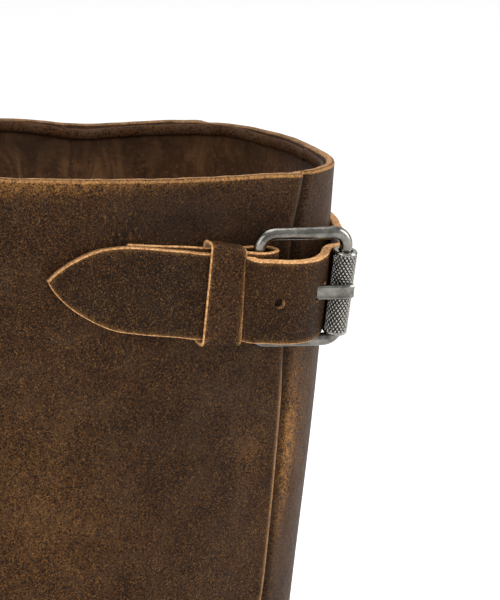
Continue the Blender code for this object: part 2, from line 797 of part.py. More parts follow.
def build_frame(name, buckle):
    curve = bpy.data.curves.new(name, "CURVE")
    curve.dimensions = "3D"
    curve.bevel_depth = WIRE_RADIUS
    curve.bevel_resolution = 2
    points = frame_path(buckle)
    spline = curve.splines.new("POLY")
    spline.points.add(len(points) - 1)
    for knot, point in zip(spline.points, points):
        knot.co = (*map(float, point), 1.0)
    spline.use_cyclic_u = True
    add_object(name, curve, BOOT, (PEWTER, 0.35, 1.0))


def build_roller(name, buckle):
    """A turned sleeve on the roller bar."""
    half = buckle.half_height - BUCKLE_CORNER
    bore = WIRE_RADIUS + GAP
    profile = [(bore, half), (ROLLER_RADIUS, half), (ROLLER_RADIUS, -half), (bore, -half)]
    mesh = bpy.data.meshes.new(name)
    mesh.from_pydata([(radius, 0, z) for radius, z in profile], [(0, 1), (1, 2), (2, 3), (3, 0)], [])
    roller = add_object(name, mesh, BOOT, (PEWTER, 0.4, 1.0))
    screw = roller.modifiers.new("turn", "SCREW")
    screw.steps = screw.render_steps = 20
    screw.use_merge_vertices = True
    screw.merge_threshold = 0.00001
    axes = Matrix([Vector(buckle.along), Vector(-buckle.out), Vector(buckle.up)]).transposed()
    roller.matrix_world = Matrix.Translation(Vector(buckle.roller)) @ axes.to_4x4()


def build_prong(name, buckle):
    """A flat wire wrapped round the bar, that passes through the strap and rests on the roller."""
    eye = WIRE_RADIUS + GAP + PRONG_THICKNESS / 2
    rest = ROLLER_RADIUS + GAP + PRONG_THICKNESS / 2
    angles = np.radians(np.linspace(EYE_START, EYE_END, EYE_STEPS + 1))
    path = [(eye * math.cos(angle), eye * math.sin(angle)) for angle in angles]
    path += [(share * BAR_SPACING, eye + lift * (rest - eye)) for share, lift in PRONG_ARM]
    path.append((BAR_SPACING + PRONG_PAST_ROLLER, rest - PRONG_TIP_DIP))
    grid = [[buckle.at(a, w, b) for w in (-PRONG_WIDTH / 2, PRONG_WIDTH / 2)] for a, b in path]
    sheet(name, grid, PRONG_THICKNESS, (PEWTER, 0.35, 1.0))


def tip_half_width(distance, half):
    """Half the width of a pointed strap end, at a distance from its tip."""
    share = np.clip(distance / STRAP_POINT, 0.0, 1.0)
    return half * np.sqrt(np.maximum(POINT_BLUNT, 1 - (1 - share) ** POINT_SQUARE))


def chape_places(buckle, length):
    """Places along the chape's flat part, from its stitched end to where it rises to the keeper."""
    end = -buckle.keeper - KEEPER_WIDTH / 2 - CHAPE_RISE
    return np.linspace(-length, end, max(4, round((end + length) / CHAPE_STEP)))


def strap_rows(buckle, tip_length, chape_length, standoff, end):
    """Rows of points across the long strap, from its tip through the buckle to its stitched end."""
    seat, half, base = buckle.seat, buckle.strap_width / 2, buckle.base
    low = base + STRAP_THICKNESS / 2
    on_chape = low + CHAPE_THICKNESS + GAP
    in_keeper = on_chape + KEEPER_THICKNESS + GAP
    over_bar = WIRE_RADIUS + GAP + CHAPE_THICKNESS + GAP + STRAP_THICKNESS / 2
    under_roller = -(ROLLER_RADIUS + GAP + STRAP_THICKNESS / 2)
    widths = np.array([-1.0, 0.0, 1.0])

    def on_seat(along, out):
        half_here = float(tip_half_width(along + tip_length, half))
        return seat.at(along, widths * half_here, out)

    def in_buckle(along, out):
        return np.array([buckle.at(along, width * half, out) for width in widths])

    past_chape = tip_length > chape_length
    tip_out = low if past_chape else on_chape
    whole = -tip_length + POINT_ROWS[-1] * STRAP_POINT
    rows = [on_seat(-tip_length + share * STRAP_POINT, tip_out) for share in POINT_ROWS]
    if past_chape:
        step_end = -chape_length - CHAPE_END_CLEARANCE
        step_start = step_end - STRAP_STEP
        places = np.arange(whole + STRAP_STEP, step_start - STRAP_STEP / 2, STRAP_STEP)
        rows += [on_seat(along, low) for along in places]
        rows += [on_seat(step_start, low), on_seat(step_end, on_chape)]
    half_keeper = KEEPER_WIDTH / 2
    places = chape_places(buckle, min(chape_length, -whole))[1:]
    rows += [on_seat(along, on_chape) for along in places]
    rows += [on_seat(-buckle.keeper + share * half_keeper, in_keeper) for share in KEEPER_ROWS]
    for share, sunk in STRAP_IN_BUCKLE:
        rows.append(in_buckle(share * BAR_SPACING, over_bar + sunk * (under_roller - over_bar)))
    rows = list(refine(rows, STRAP_BEND_STEP))
    start = buckle.roller_along
    for along in np.arange(start + 2 * ROLLER_RADIUS, end, STRAP_STEP):
        share = float(smoothstep((along - start) / STRAP_SETTLE))
        rows.append(on_seat(along, low + standoff * (1 - share)))
    rows.append(on_seat(end, low))
    return rows


def build_strap(name, buckle, tip_length, chape_length, standoff, end):
    rows = strap_rows(buckle, tip_length, chape_length, standoff, end)
    strap = sheet(name, rows, STRAP_THICKNESS, (BROWN, 0.5))
    arm_height = (ROLLER_RADIUS + WIRE_RADIUS) / 2 + GAP + PRONG_THICKNESS / 2
    size = (BAR_SPACING, PRONG_WIDTH + 2 * PRONG_CLEARANCE, 2 * PRONG_THICKNESS)
    centre = Vector(buckle.at(HOLE_MIDDLE * BAR_SPACING, 0.0, arm_height))
    cut(strap, box_cutter(f"{name}_hole", centre, (buckle.along, buckle.up, buckle.out), size))


def build_chape(name, buckle, length):
    """The short strap that is stitched to the upper and folded round the buckle's bar."""
    seat, half, base = buckle.seat, buckle.strap_width / 2, buckle.base
    low = base + CHAPE_THICKNESS / 2
    raised = low + KEEPER_THICKNESS + GAP
    fold = WIRE_RADIUS + GAP + CHAPE_THICKNESS / 2
    widths = np.array([-1.0, 0.0, 1.0]) * (half - GAP)
    rows = [seat.at(along, widths, low) for along in chape_places(buckle, length)]
    half_keeper = KEEPER_WIDTH / 2
    places = -buckle.keeper + np.array([-1.1, 0.0, 1.1]) * half_keeper
    rows += [seat.at(along, widths, raised) for along in places]
    for angle in np.radians(np.linspace(-FOLD_TURN, FOLD_TURN, 9)):
        out, along = fold * math.sin(angle), fold * math.cos(angle)
        rows.append(np.array([buckle.at(along, width, out) for width in widths]))
    rows.append(np.array([buckle.at(-CHAPE_LAP, width, fold - CHAPE_LAP_SINK) for width in widths]))
    chape = sheet(name, rows, CHAPE_THICKNESS, (BROWN, 0.5))
    slot = PRONG_WIDTH + 4 * PRONG_CLEARANCE
    size = (PRONG_SLOT_LENGTH, slot, 6 * WIRE_RADIUS)
    axes = (buckle.along, buckle.up, buckle.out)
    centre = Vector(buckle.at(PRONG_SLOT_OFFSET, 0.0, PRONG_SLOT_OFFSET))
    cut(chape, box_cutter(f"{name}_slot", centre, axes, size))


def build_keeper(name, buckle):
    """A closed loop of leather round the chape and the strap's end."""
    seat, half, base = buckle.seat, buckle.strap_width / 2, buckle.base
    low = base + KEEPER_THICKNESS / 2
    high = low + KEEPER_THICKNESS + CHAPE_THICKNESS + STRAP_THICKNESS + 6 * GAP
    side = half + 2 * GAP + KEEPER_THICKNESS / 2
    corner = KEEPER_CORNER
    loop = []
    for quarter in range(4):
        sign_across = 1 if quarter in (0, 3) else -1
        middle_out = high - corner if quarter < 2 else low + corner
        for k in range(3):
            angle = math.pi / 2 * (quarter + k / 2)
            across = sign_across * (side - corner) + corner * math.cos(angle)
            loop.append((across, middle_out + corner * math.sin(angle)))
        if quarter in (0, 2):
            loop.append((0.0, high if quarter == 0 else low))
    places = -buckle.keeper + KEEPER_WIDTH * np.linspace(-0.5, 0.5, 3)
    grid = [[seat.at(along, across, out) for along in places] for across, out in loop]
    sheet(name, grid, KEEPER_THICKNESS, (DARK_BROWN, 0.45), closed=True)


def buckled_strap(prefix, buckle, standoff, tip_length, chape_length):
    """A strap with its chape, keeper and roller buckle, as six pieces."""
    end = float(buckle.seat.run[-1]) - STRAP_END_MARGIN
    build_strap(f"{prefix}_strap", buckle, tip_length, chape_length, standoff, end)
    build_chape(f"{prefix}_strap_chape", buckle, chape_length)
    build_keeper(f"{prefix}_strap_keeper", buckle)
    build_frame(f"{prefix}_buckle_frame", buckle)
    build_roller(f"{prefix}_buckle_roller", buckle)
    build_prong(f"{prefix}_buckle_prong", buckle)


def row_below_collar(turn, drop):
    """The row that lies a distance below the collar, measured down the shaft."""
    rows = np.linspace(TOP_ROW, ANKLE_ROW, 80)
    return float(np.interp(drop, run_length(surface(rows, turn)), rows))


def top_seat():
    """Round the shaft from the front of the outer side, over the back, to the inner side."""
    table = np.array(TOP_STRAP_LINE)
    turns, drops = np.array([smooth_table(table, at) for at in np.linspace(0, len(table) - 1, 180)]).T
    rows = [row_below_collar(turn, drop * TOP_STRAP_DROP) for turn, drop in zip(turns, drops)]
    middle = HEEL_BACK_X - SHAFT_RINGS[-1][2] * LAST_LENGTH
    line = surface(rows, turns)
    on_outer_side = turns > -1
    bar_turn = float(np.interp(middle + TOP_BAR_BEHIND, line[on_outer_side, 0], turns[on_outer_side]))
    return Seat(rows, turns, bar_turn)


def instep_seat():
    """From the outer sole edge over the instep to the inner sole edge."""
    share = np.linspace(-1, 1, 161)
    rows = INSTEP_STRAP_END_ROW + (INSTEP_STRAP_TOP_ROW - INSTEP_STRAP_END_ROW) * (
        1 - np.abs(share) ** INSTEP_STRAP_ROUND
    )
    turns = share * INSTEP_STRAP_END_TURN
    return Seat(rows, turns, INSTEP_BAR_TURN)


def build_straps():
    top = Buckle(top_seat(), TOP_STRAP_WIDTH, TOP_STANDOFF, GAP, TOP_KEEPER_PLACE)
    buckled_strap("top", top, TOP_STANDOFF, TOP_TIP_LENGTH, TOP_CHAPE_LENGTH)
    over = instep_seat()
    base = GAP + OVERLAY_THICKNESS + STRAP_CLEARANCE
    instep = Buckle(over, INSTEP_STRAP_WIDTH, INSTEP_STANDOFF, base, INSTEP_KEEPER_PLACE)
    chape_length = -float(over.run[0]) - STRAP_END_MARGIN / 2
    buckled_strap("instep", instep, INSTEP_STANDOFF, INSTEP_TIP_LENGTH, chape_length)


build_upper()
build_vamp()
build_counter()
build_insole()
build_outsole()
build_welt()
build_heel()
build_straps()
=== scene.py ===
"""Looks of the left engineer boot: waxed leather, raw cut edges, pewter buckles, welt and stacked heel.

Metres, +Z up, toe to -X and the outer side to -Y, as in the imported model.
"""

import math

import bpy
import numpy as np
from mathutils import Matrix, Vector


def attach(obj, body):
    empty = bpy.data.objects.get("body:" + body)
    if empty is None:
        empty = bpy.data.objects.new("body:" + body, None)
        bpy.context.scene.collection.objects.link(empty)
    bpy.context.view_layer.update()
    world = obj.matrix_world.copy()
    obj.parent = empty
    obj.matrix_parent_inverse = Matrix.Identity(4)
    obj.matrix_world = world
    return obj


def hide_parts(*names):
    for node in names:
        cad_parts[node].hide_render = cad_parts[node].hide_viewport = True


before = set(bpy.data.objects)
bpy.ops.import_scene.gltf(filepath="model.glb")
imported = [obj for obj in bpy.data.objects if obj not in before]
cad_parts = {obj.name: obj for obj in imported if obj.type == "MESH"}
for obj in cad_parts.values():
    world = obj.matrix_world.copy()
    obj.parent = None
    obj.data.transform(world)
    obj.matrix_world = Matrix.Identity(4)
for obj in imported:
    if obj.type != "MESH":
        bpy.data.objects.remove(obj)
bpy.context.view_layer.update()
rng = np.random.default_rng(7)

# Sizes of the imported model
LAST_LENGTH = 0.283
BALL_WIDTH = 0.098
HEEL_BACK_X = 0.037
INSTEP_HEIGHT = 0.151
ANKLE_HEIGHT = 0.143
TOE_SPRING = 0.010
COLLAR_HEIGHT = 0.312
COLLAR_DROP = 0.0085
COLLAR_LENGTH = 0.148
COLLAR_WIDTH = 0.097
WALL = 0.0024
SEAM_STEP = 0.0012
SEAM_LAP = 0.0120
OUTSOLE_THICKNESS = 0.0090
WELT_THICKNESS = 0.0032
WELT_REACH = 0.0068
WELT_CLEARANCE = 0.0006
WELT_INSET = 0.0004
HEEL_REACH = 0.0036
HEEL_STACK_HEIGHT = 0.0230
TOP_LIFT_THICKNESS = 0.0070
HEEL_TAPER = 0.0022
HEEL_BREAST_X = -0.0340
BREAST_HOLLOW = 0.0040
INSOLE_THICKNESS = 0.0040
INSOLE_CLEARANCE = 0.0014
GAP = 0.0003
OVERLAY_THICKNESS = 0.0016
TOP_STRAP_WIDTH = 0.0240
TOP_STRAP_DROP = 0.0315
INSTEP_STRAP_WIDTH = 0.0200
INSTEP_TIP_LENGTH = 0.0420
INSTEP_STANDOFF = 0.0008
INSTEP_KEEPER_PLACE = 0.0160
STRAP_THICKNESS = 0.0025
STRAP_CLEARANCE = 0.0008
STRAP_POINT = 0.0240
STRAP_STEP = 0.0062
STRAP_END_MARGIN = 0.0020
CHAPE_STEP = 0.0040
CHAPE_END_CLEARANCE = 0.0015
CHAPE_LAP = 0.0026
CHAPE_RISE = 0.0055
WIRE_RADIUS = 0.0018
BUCKLE_CORNER = 0.0040
ROLLER_WALL = 0.0013
PRONG_THICKNESS = 0.0020
PRONG_TIP_DIP = 0.0006
PRONG_CLEARANCE = 0.0004

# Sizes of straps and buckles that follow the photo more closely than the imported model
TOP_BAR_BEHIND = 0.0367
TOP_TIP_LENGTH = 0.0583
TOP_CHAPE_LENGTH = 0.0372
TOP_STANDOFF = 0.0063
TOP_KEEPER_PLACE = 0.0096
TOP_TILT = 0.105
TOP_SAG = 0.0018
TOP_SAG_REACH = 0.050
TOP_SAG_BEHIND = 0.090
STRAP_SETTLE = 0.0240
CHAPE_THICKNESS = 0.0012
CHAPE_SHIFT = 0.0003
CHAPE_LAP_SINK = 0.0007
CHAPE_LAP_END = 0.0018
KEEPER_THICKNESS = 0.0009
KEEPER_WIDTH = 0.0102
KEEPER_CORNER = 0.0014
KEEPER_SLACK = 0.0010
KEEPER_SKEW = 0.0008
SIDE_CLEARANCE = 0.0019
BUCKLE_LENGTH = 0.0288
ROLLER_PAST_CORNER = 0.0004
ROLLER_SLIP = 0.0017
ROLLER_BACK = 0.0003
ROLLER_LEAN = 0.03
PRONG_WIDTH = 0.0040
PRONG_PAST_ROLLER = 0.0016
SLOT_DEPTH, CHAPE_SLOT_DEPTH = 0.0040, 0.0110
CHAPE_SLOT_HALF_LENGTH, CHAPE_SLOT_MIDDLE = 0.0072, 0.0010
HOLE_ALONG, HOLE_RADIUS, HOLE_DEPTH = 0.0046, 0.0014, 0.0020

# Sizes that follow from the others
FORE_Z = OUTSOLE_THICKNESS + GAP
HEEL_HEIGHT = HEEL_STACK_HEIGHT + TOP_LIFT_THICKNESS
SEAT_Z = HEEL_HEIGHT + GAP + OUTSOLE_THICKNESS + GAP
ROLLER_RADIUS = WIRE_RADIUS + GAP + ROLLER_WALL
BAR_SPACING = BUCKLE_LENGTH - 2 * WIRE_RADIUS

# Sections of the upper, outlines, edges and the lines of the straps, from the toe and the floor up
FOOT_RINGS = (
    # front reach, front rise, back reach, back rise, width, widest, front square, back square, foot, sag
    (1.000, 0.000, 0.000, 0.000, 1.000, 0.40, 2.3, 3.6, 1.00, 1.00),
    (1.009, 0.053, -0.009, 0.078, 1.030, 0.40, 2.4, 3.6, 1.00, 0.95),
    (1.005, 0.137, -0.016, 0.175, 0.970, 0.40, 2.4, 3.6, 0.80, 0.80),
    (0.975, 0.240, -0.017, 0.272, 0.890, 0.40, 2.4, 3.5, 0.45, 0.50),
    (0.912, 0.310, -0.013, 0.359, 0.820, 0.46, 2.2, 3.2, 0.15, 0.25),
    (0.822, 0.357, -0.008, 0.447, 0.790, 0.56, 2.0, 3.0, 0.00, 0.10),
    (0.724, 0.435, -0.003, 0.534, 0.784, 0.58, 1.9, 2.8, 0.00, 0.00),
    (0.632, 0.547, 0.003, 0.631, 0.776, 0.58, 1.9, 2.6, 0.00, 0.00),
    (0.555, 0.687, 0.008, 0.738, 0.770, 0.55, 2.0, 2.4, 0.00, 0.00),
    (0.500, 0.842, 0.011, 0.854, 0.772, 0.52, 2.1, 2.3, 0.00, 0.00),
    (0.466, 1.000, 0.011, 1.000, 0.780, 0.50, 2.2, 2.3, 0.00, 0.00),
)
SHAFT_RINGS = (
    # front rise, back rise, middle (in last lengths before the heel's back), length, width, square
    (0.152, 0.140, 0.2270, 0.857, 0.815, 2.35),
    (0.327, 0.310, 0.2215, 0.871, 0.856, 2.50),
    (0.540, 0.540, 0.2180, 0.909, 0.912, 2.65),
    (0.780, 0.770, 0.2190, 0.953, 0.962, 2.80),
    (1.000, 1.000, 0.2226, 1.000, 1.000, 2.90),
)
FOOT_OUTLINE = (
    # along, half width, middle (towards the inner side)
    (0.00, 0.90, 0.055),
    (0.15, 0.93, 0.040),
    (0.25, 0.975, 0.010),
    (0.33, 1.00, -0.010),
    (0.45, 0.93, -0.035),
    (0.60, 0.72, -0.050),
    (0.75, 0.66, -0.030),
    (0.87, 0.67, -0.005),
    (1.00, 0.66, 0.000),
)
TOE_ROUND, TOE_SQUARE = 0.27, 2.5
HEEL_ROUND, HEEL_SQUARE = 0.13, 2.2
SPRING_END, ARCH_START, ARCH_END = 0.27, 0.41, 0.76
WAIST_START, WAIST_END = 0.50, 0.70
SIDE_SEAM = 0.765
VAMP_EDGE = (
    # reach, rise
    (0.330, 0.000),
    (0.335, 0.300),
    (0.365, 0.430),
    (0.420, 0.560),
    (0.480, 0.680),
    (0.530, 0.775),
    (0.580, 0.840),
    (0.680, 0.900),
)
COUNTER_EDGE = (
    # reach, rise
    (0.250, 0.000),
    (0.250, 0.300),
    (0.235, 0.420),
    (0.190, 0.540),
    (0.120, 0.640),
    (0.040, 0.700),
    (-0.080, 0.720),
)
TOP_STRAP_LINE = (
    # turn, drop below the collar as a share of TOP_STRAP_DROP
    (-0.28, 0.815),
    (-0.45, 0.910),
    (-0.62, 0.965),
    (-0.79, 0.935),
    (-0.96, 0.905),
    (-1.20, 0.930),
    (-1.62, 0.910),
)
INSTEP_STRAP_TOP_ROW = 8.5
INSTEP_STRAP_END_ROW = 1.45
INSTEP_STRAP_END_TURN = 0.60
INSTEP_STRAP_ROUND = 1.7
INSTEP_BAR_TURN = -0.345
STRAP_IN_BUCKLE = (
    # along as a share of the bar spacing, sunk as a share of the way from over the bar to under the roller
    (-0.085, 0.010),
    (0.043, -0.060),
    (0.250, -0.170),
    (0.420, -0.170),
    (0.560, -0.060),
    (0.670, 0.170),
    (0.745, 0.400),
    (0.800, 0.660),
    (0.870, 0.893),
    (1.043, 1.014),
)
KEEPER_ROWS = (-1.4, -0.3, 0.5, 1.0)
# Shares of the strap's point at which its rows lie, and of half its width for the three points of a row
TIP_STEPS = (0.0, 0.01, 0.025, 0.045, 0.07, 0.10, 0.14, 0.19, 0.25, 0.32, 0.39, 0.46, 0.54)
THREE_ACROSS = np.array([-1.0, 0.0, 1.0])
FOLD_TURN = 105
FOLD_SLACK = 1.9
EYE_START, EYE_END = -15, -270
PRONG_ARM = (
    # along as a share of the bar spacing, lift as a share of the way from the eye to the roller
    (0.25, 0.30),
    (0.50, 0.62),
    (0.75, 0.90),
    (1.00, 1.00),
)

# How finely the upper's plain face is worked out, and how far a strap's lift reaches beside the seam
TOP_ROW = len(FOOT_RINGS) + len(SHAFT_RINGS) - 1
ANKLE_ROW = len(FOOT_RINGS) - 1
ROW_STEPS = 16
TURN_STEPS = 240
RING_SAMPLES = 400
OVER_LAP_REACH = 2.2

# Detail that only this script has: lengths in metres, angles in radians and counts of points
RIM_ROUND, RIM_INSIDE_ROUND = 0.0009, 0.0005
RIM_FADE = 0.022
RIM_WEAR = 0.0045
OUTER_ROWS, INNER_ROWS = (136, 102), (34, 40)
COLUMNS_AHEAD, COLUMNS_BEHIND = 92, 24
SEAM_COLUMNS = (
    # millimetres behind the side seam
    *(-5.0, -3.6, -2.6, -1.9, -1.3, -0.8, -0.4, 0),
    *(0.4, 0.9, 1.4, 1.9, 2.4, 2.9, 3.4, 4.0, 4.8, 6.0),
)
# How far along from the strap's tip the painted shade and grime on its side edges holds, then fades
SHADE_AND_GRIME_START = 0.030
SHADE_AND_GRIME_FADE = 0.030
FACING_HALF_WIDTH = 0.0009
FACING_HALF_HEIGHT = 0.0016
FACING_DROP = 0.0007
SEAM_ROUND = 0.0011
SEAM_LIP, LIP_AT, LIP_HALF = 0.0003, -0.0016, 0.0016
SEAM_GROOVE, GROOVE_AT, GROOVE_HALF = 0.0011, 0.0030, 0.0012
SEAM_TAN_AT, SEAM_TAN_HALF = -0.0004, 0.0006
# Painted shade along the side seam's groove: how far behind the seam and how wide
SEAM_SHADE_AT, SEAM_SHADE_HALF = 0.0027, 0.0011
STREAK_AT, STREAK_HALF = 0.0070, 0.0028
STREAK_HEIGHT, STREAK_HALF_HEIGHT = 0.230, 0.020
BELOW_STRAP, BELOW_STRAP_FADE = 0.262, 0.020
# A band of painted shadow inside the wall, below the collar's facing: how far below the rim and how wide
INSIDE_SHADOW_BELOW, INSIDE_SHADOW_HALF = 0.0060, 0.0055
EDGE_WEAR_REACH, FRAY_REACH = 0.0011, 0.00045
ROLLER_COLUMNS, ROLLER_ROWS = 176, 150
KNURL_DIAMONDS, KNURL_PITCH, KNURL_DEPTH = 9, 0.00155, 0.00045
ROLLER_SEAM_ANGLE, ROLLER_SEAM_HALF = math.radians(205), 0.42
ROLLER_END_ROUND = 0.0003
ROLLER_CAPS = (
    # height as a share of half the length, radius as a share of the way from the bore
    (1.0, 0.8),
    (1.0, 0.4),
    (1.0, 0.0),
    (0.9, 0.0),
    (-0.9, 0.0),
    (-1.0, 0.0),
    (-1.0, 0.4),
    (-1.0, 0.8),
)
OVERLAY_EDGE_INSET = 0.0005
STITCH_ROWS = (0.0026, 0.0052)
WELT_SEAM_SHARE, WELT_SEAM_HALF, WELT_SEAM_DEPTH = 0.45, 0.0008, 0.0004
WELT_STITCH, WELT_STITCH_GAP = 0.0030, 0.0012

# How far forward the side seams bow, both in metres
SEAM_BOW = (
    # below the collar, forward
    (0.000, 0.0000),
    (0.007, 0.0012),
    (0.015, 0.0031),
    (0.034, 0.0037),
    (0.050, 0.0034),
    (0.064, 0.0024),
    (0.080, 0.0018),
    (0.098, 0.0009),
    (0.116, 0.0000),
)

# Waves of the raw collar edge: where, how far to each side, and how high, with turns as shares and metres
RIM_WAVES = (
    # turn, half width in turns, height
    (0.600, 0.075, -0.0014),
    (0.420, 0.100, 0.0006),
    (0.780, 0.090, 0.0005),
    (-0.330, 0.050, 0.0003),
    (-0.520, 0.060, -0.0002),
    (-0.690, 0.045, 0.0003),
    (-0.120, 0.080, -0.0003),
)

# Soft creases of the leather, across the front of the ankle, behind it and over the ball of the foot
CREASES = (
    # row, turn, half length in turns, half width in rows, tilt in rows a turn, depth
    (9.25, 0.02, 0.34, 0.22, 0.9, 0.0011),
    (9.85, -0.03, 0.40, 0.20, 1.2, 0.0009),
    (10.40, 0.04, 0.30, 0.13, 0.8, 0.0006),
    (8.75, 0.98, 0.24, 0.20, -0.9, 0.0008),
    (9.45, -0.97, 0.28, 0.18, 0.8, 0.0007),
    (5.45, 0.05, 0.22, 0.13, 1.5, 0.0006),
    (4.95, -0.04, 0.26, 0.12, 1.8, 0.0005),
)

# Painted shade and worn places on the outer side of the shaft, as centre and half size in metres
# Darker places are painted shade, where less light falls between the collar and the top strap and below it
SHADE_PATCHES = (
    # x, z, half length, half height, weight
    (-0.008, 0.299, 0.030, 0.010, 0.75),
    (0.012, 0.292, 0.020, 0.010, 0.70),
    (-0.012, 0.236, 0.034, 0.018, 0.35),
)
WORN_PATCHES = (
    # x, z, half length, half height, weight
    (0.0125, 0.2305, 0.0060, 0.0080, 0.12),
    (-0.0480, 0.2200, 0.0200, 0.0260, 0.12),
    (0.0300, 0.2380, 0.0050, 0.0220, 0.18),
)
# Places where the leather puckers beside the top strap
PUCKERS = (
    # x, z, half length, half height, weight
    (-0.0260, 0.2985, 0.0070, 0.0065, 1.0),
    (-0.0260, 0.2655, 0.0080, 0.0045, 0.7),
)


def smooth_table(rows, at):
    """Catmull-Rom through evenly spaced rows of numbers, at a row position."""
    at = min(max(at, 0.0), len(rows) - 1.0)
    i = min(int(at), len(rows) - 2)
    t = at - i
    a, b = rows[i], rows[i + 1]
    before = rows[i - 1] if i else 2 * a - b
    after = rows[i + 2] if i + 2 < len(rows) else 2 * b - a
    curve = (3 * a - before - 3 * b + after) * t**3 + (2 * before - 5 * a + 4 * b - after) * t**2
    return (2 * a + (b - before) * t + curve) / 2


def smoothstep(t):
    t = np.clip(t, 0.0, 1.0)
    return t * t * (3 - 2 * t)


def unit(vectors):
    return vectors / np.maximum(np.linalg.norm(vectors, axis=-1, keepdims=True), 1e-12)


def bell(offset):
    """1 at nought, falling smoothly to nothing at three."""
    return np.exp(-(offset**2))


def run_length(points):
    steps = np.linalg.norm(np.diff(points, axis=0), axis=1)
    return np.concatenate([[0.0], np.cumsum(steps)])


def along_line(at, run, line):
    """Points at distances along a line of points."""
    return np.stack([np.interp(at, run, line[:, k]) for k in range(3)], axis=-1)


def full_turn(count):
    return np.linspace(0, 2 * math.pi, count, endpoint=False)


def feather_z(along):
    """The height of the upper's bottom edge, with toe spring and arch."""
    along = np.asarray(along, float)
    spring = np.maximum(0.0, 1 - along / SPRING_END) ** 2
    arch = smoothstep((along - ARCH_START) / (ARCH_END - ARCH_START))
    return FORE_Z + TOE_SPRING * spring + (SEAT_Z - FORE_Z) * arch


def along_at(x):
    return (x - HEEL_BACK_X + LAST_LENGTH) / LAST_LENGTH


def ring_rows():
    """The sections in metres: front and back points, half width, and the numbers of their outlines."""
    toe_z = float(feather_z(0.0))
    rows = []
    for reach, rise, back, back_rise, width, widest, front_sq, back_sq, foot, sag in FOOT_RINGS:
        front = (HEEL_BACK_X - reach * LAST_LENGTH, toe_z + rise * (INSTEP_HEIGHT - toe_z))
        behind = (HEEL_BACK_X - back * LAST_LENGTH, SEAT_Z + back_rise * (ANKLE_HEIGHT - SEAT_Z))
        rows.append((*front, *behind, width * BALL_WIDTH / 2, widest, front_sq, back_sq, foot, sag))
    collar_front = COLLAR_HEIGHT + COLLAR_DROP / 2
    collar_back = COLLAR_HEIGHT - COLLAR_DROP / 2
    for rise, back_rise, middle, length, width, square in SHAFT_RINGS:
        middle_x = HEEL_BACK_X - middle * LAST_LENGTH
        half = length * COLLAR_LENGTH / 2
        front = (middle_x - half, INSTEP_HEIGHT + rise * (collar_front - INSTEP_HEIGHT))
        behind = (middle_x + half, ANKLE_HEIGHT + back_rise * (collar_back - ANKLE_HEIGHT))
        rows.append((*front, *behind, width * COLLAR_WIDTH / 2, 0.5, square, square, 0.0, 0.0))
    return np.array(rows)


def foot_outline(along):
    """Half widths and middles of the last's outline at shares of its length."""
    table = np.array(FOOT_OUTLINE)
    place = np.interp(along, table[:, 0], np.arange(len(table)))
    rows = np.array([smooth_table(table, at) for at in place])
    toe = (1 - np.clip(1 - along / TOE_ROUND, 0, 1) ** TOE_SQUARE) ** (1 / TOE_SQUARE)
    heel = (1 - np.clip(1 - (1 - along) / HEEL_ROUND, 0, 1) ** HEEL_SQUARE) ** (1 / HEEL_SQUARE)
    return rows[:, 1] * toe * heel, rows[:, 2]


ALONG = (1 - np.cos(np.linspace(0, math.pi, RING_SAMPLES))) / 2
OUTLINE_HALF, OUTLINE_MIDDLE = foot_outline(ALONG)
RING_TABLE = ring_rows()


def half_ring(row, side, shares):
    """One side of the section at a row, at shares of its length from front to back."""
    ring = smooth_table(RING_TABLE, row)
    front_x, front_z, back_x, back_z, half, widest, front_sq, back_sq, foot, sag = ring
    before = np.clip((widest - ALONG) / widest, 0, 1)
    behind = np.clip((ALONG - widest) / (1 - widest), 0, 1)
    front_half = (1 - before**front_sq) ** (1 / front_sq)
    back_half = (1 - behind**back_sq) ** (1 / back_sq)
    plain = np.where(ALONG < widest, front_half, back_half)
    foot = min(max(foot, 0.0), 1.0)
    width = half * (foot * OUTLINE_HALF + (1 - foot) * plain)
    lean = 1 - smoothstep(row / ANKLE_ROW)
    chord = feather_z(0.0) + (feather_z(1.0) - feather_z(0.0)) * ALONG
    x = front_x + (back_x - front_x) * ALONG
    y = side * width + lean * OUTLINE_MIDDLE * BALL_WIDTH
    z = front_z + (back_z - front_z) * ALONG + sag * (feather_z(ALONG) - chord)
    points = np.stack([x, y, z], axis=-1)
    run = run_length(points)
    at = np.asarray(shares) * run[-1]
    return along_line(at, run, points)


def surface_grid():
    """Points and normals of the upper's plain outer face, on even rows and turns."""
    rows = np.arange(TOP_ROW * ROW_STEPS + 1) / ROW_STEPS
    shares = np.arange(TURN_STEPS + 1) / TURN_STEPS
    points = []
    for row in rows:
        outer = half_ring(row, -1, shares)[::-1]
        inner = half_ring(row, 1, shares)[1:]
        points.append(np.concatenate([outer, inner]))
    points = np.array(points)
    round_way = np.concatenate([points[:, -3:-1], points, points[:, 1:3]], axis=1)
    by_turn = round_way[:, 4:] - round_way[:, :-4]
    by_row = np.gradient(points, axis=0)
    by_row[0] = by_row[-1] = (0.0, 0.0, 1.0)
    return points, unit(np.cross(by_row, by_turn))


FACE_POINTS, FACE_NORMALS = surface_grid()


def surface(row, turn, out=0.0):
    """Points of the plain outer face at rows and turns, moved out along its normals."""
    row, turn, out = np.broadcast_arrays(np.asarray(row, float), np.asarray(turn, float), out)
    i = np.clip(row * ROW_STEPS, 0, TOP_ROW * ROW_STEPS)
    j = ((turn + 1) % 2) * TURN_STEPS
    i0 = np.minimum(i.astype(int), TOP_ROW * ROW_STEPS - 1)
    j0 = np.minimum(j.astype(int), 2 * TURN_STEPS - 1)
    a, b = (i - i0)[..., None], (j - j0)[..., None]

    def blend(grid):
        low = grid[i0, j0] * (1 - b) + grid[i0, j0 + 1] * b
        high = grid[i0 + 1, j0] * (1 - b) + grid[i0 + 1, j0 + 1] * b
        return low * (1 - a) + high * a

    return blend(FACE_POINTS) + unit(blend(FACE_NORMALS)) * out[..., None]


HALF_GIRTH = float(run_length(surface(TOP_ROW, np.linspace(0, 1, RING_SAMPLES)))[-1])


def folded_turn(turn):
    """A turn as its distance from the front, 0 to 1."""
    return np.abs((np.asarray(turn, float) + 1) % 2 - 1)


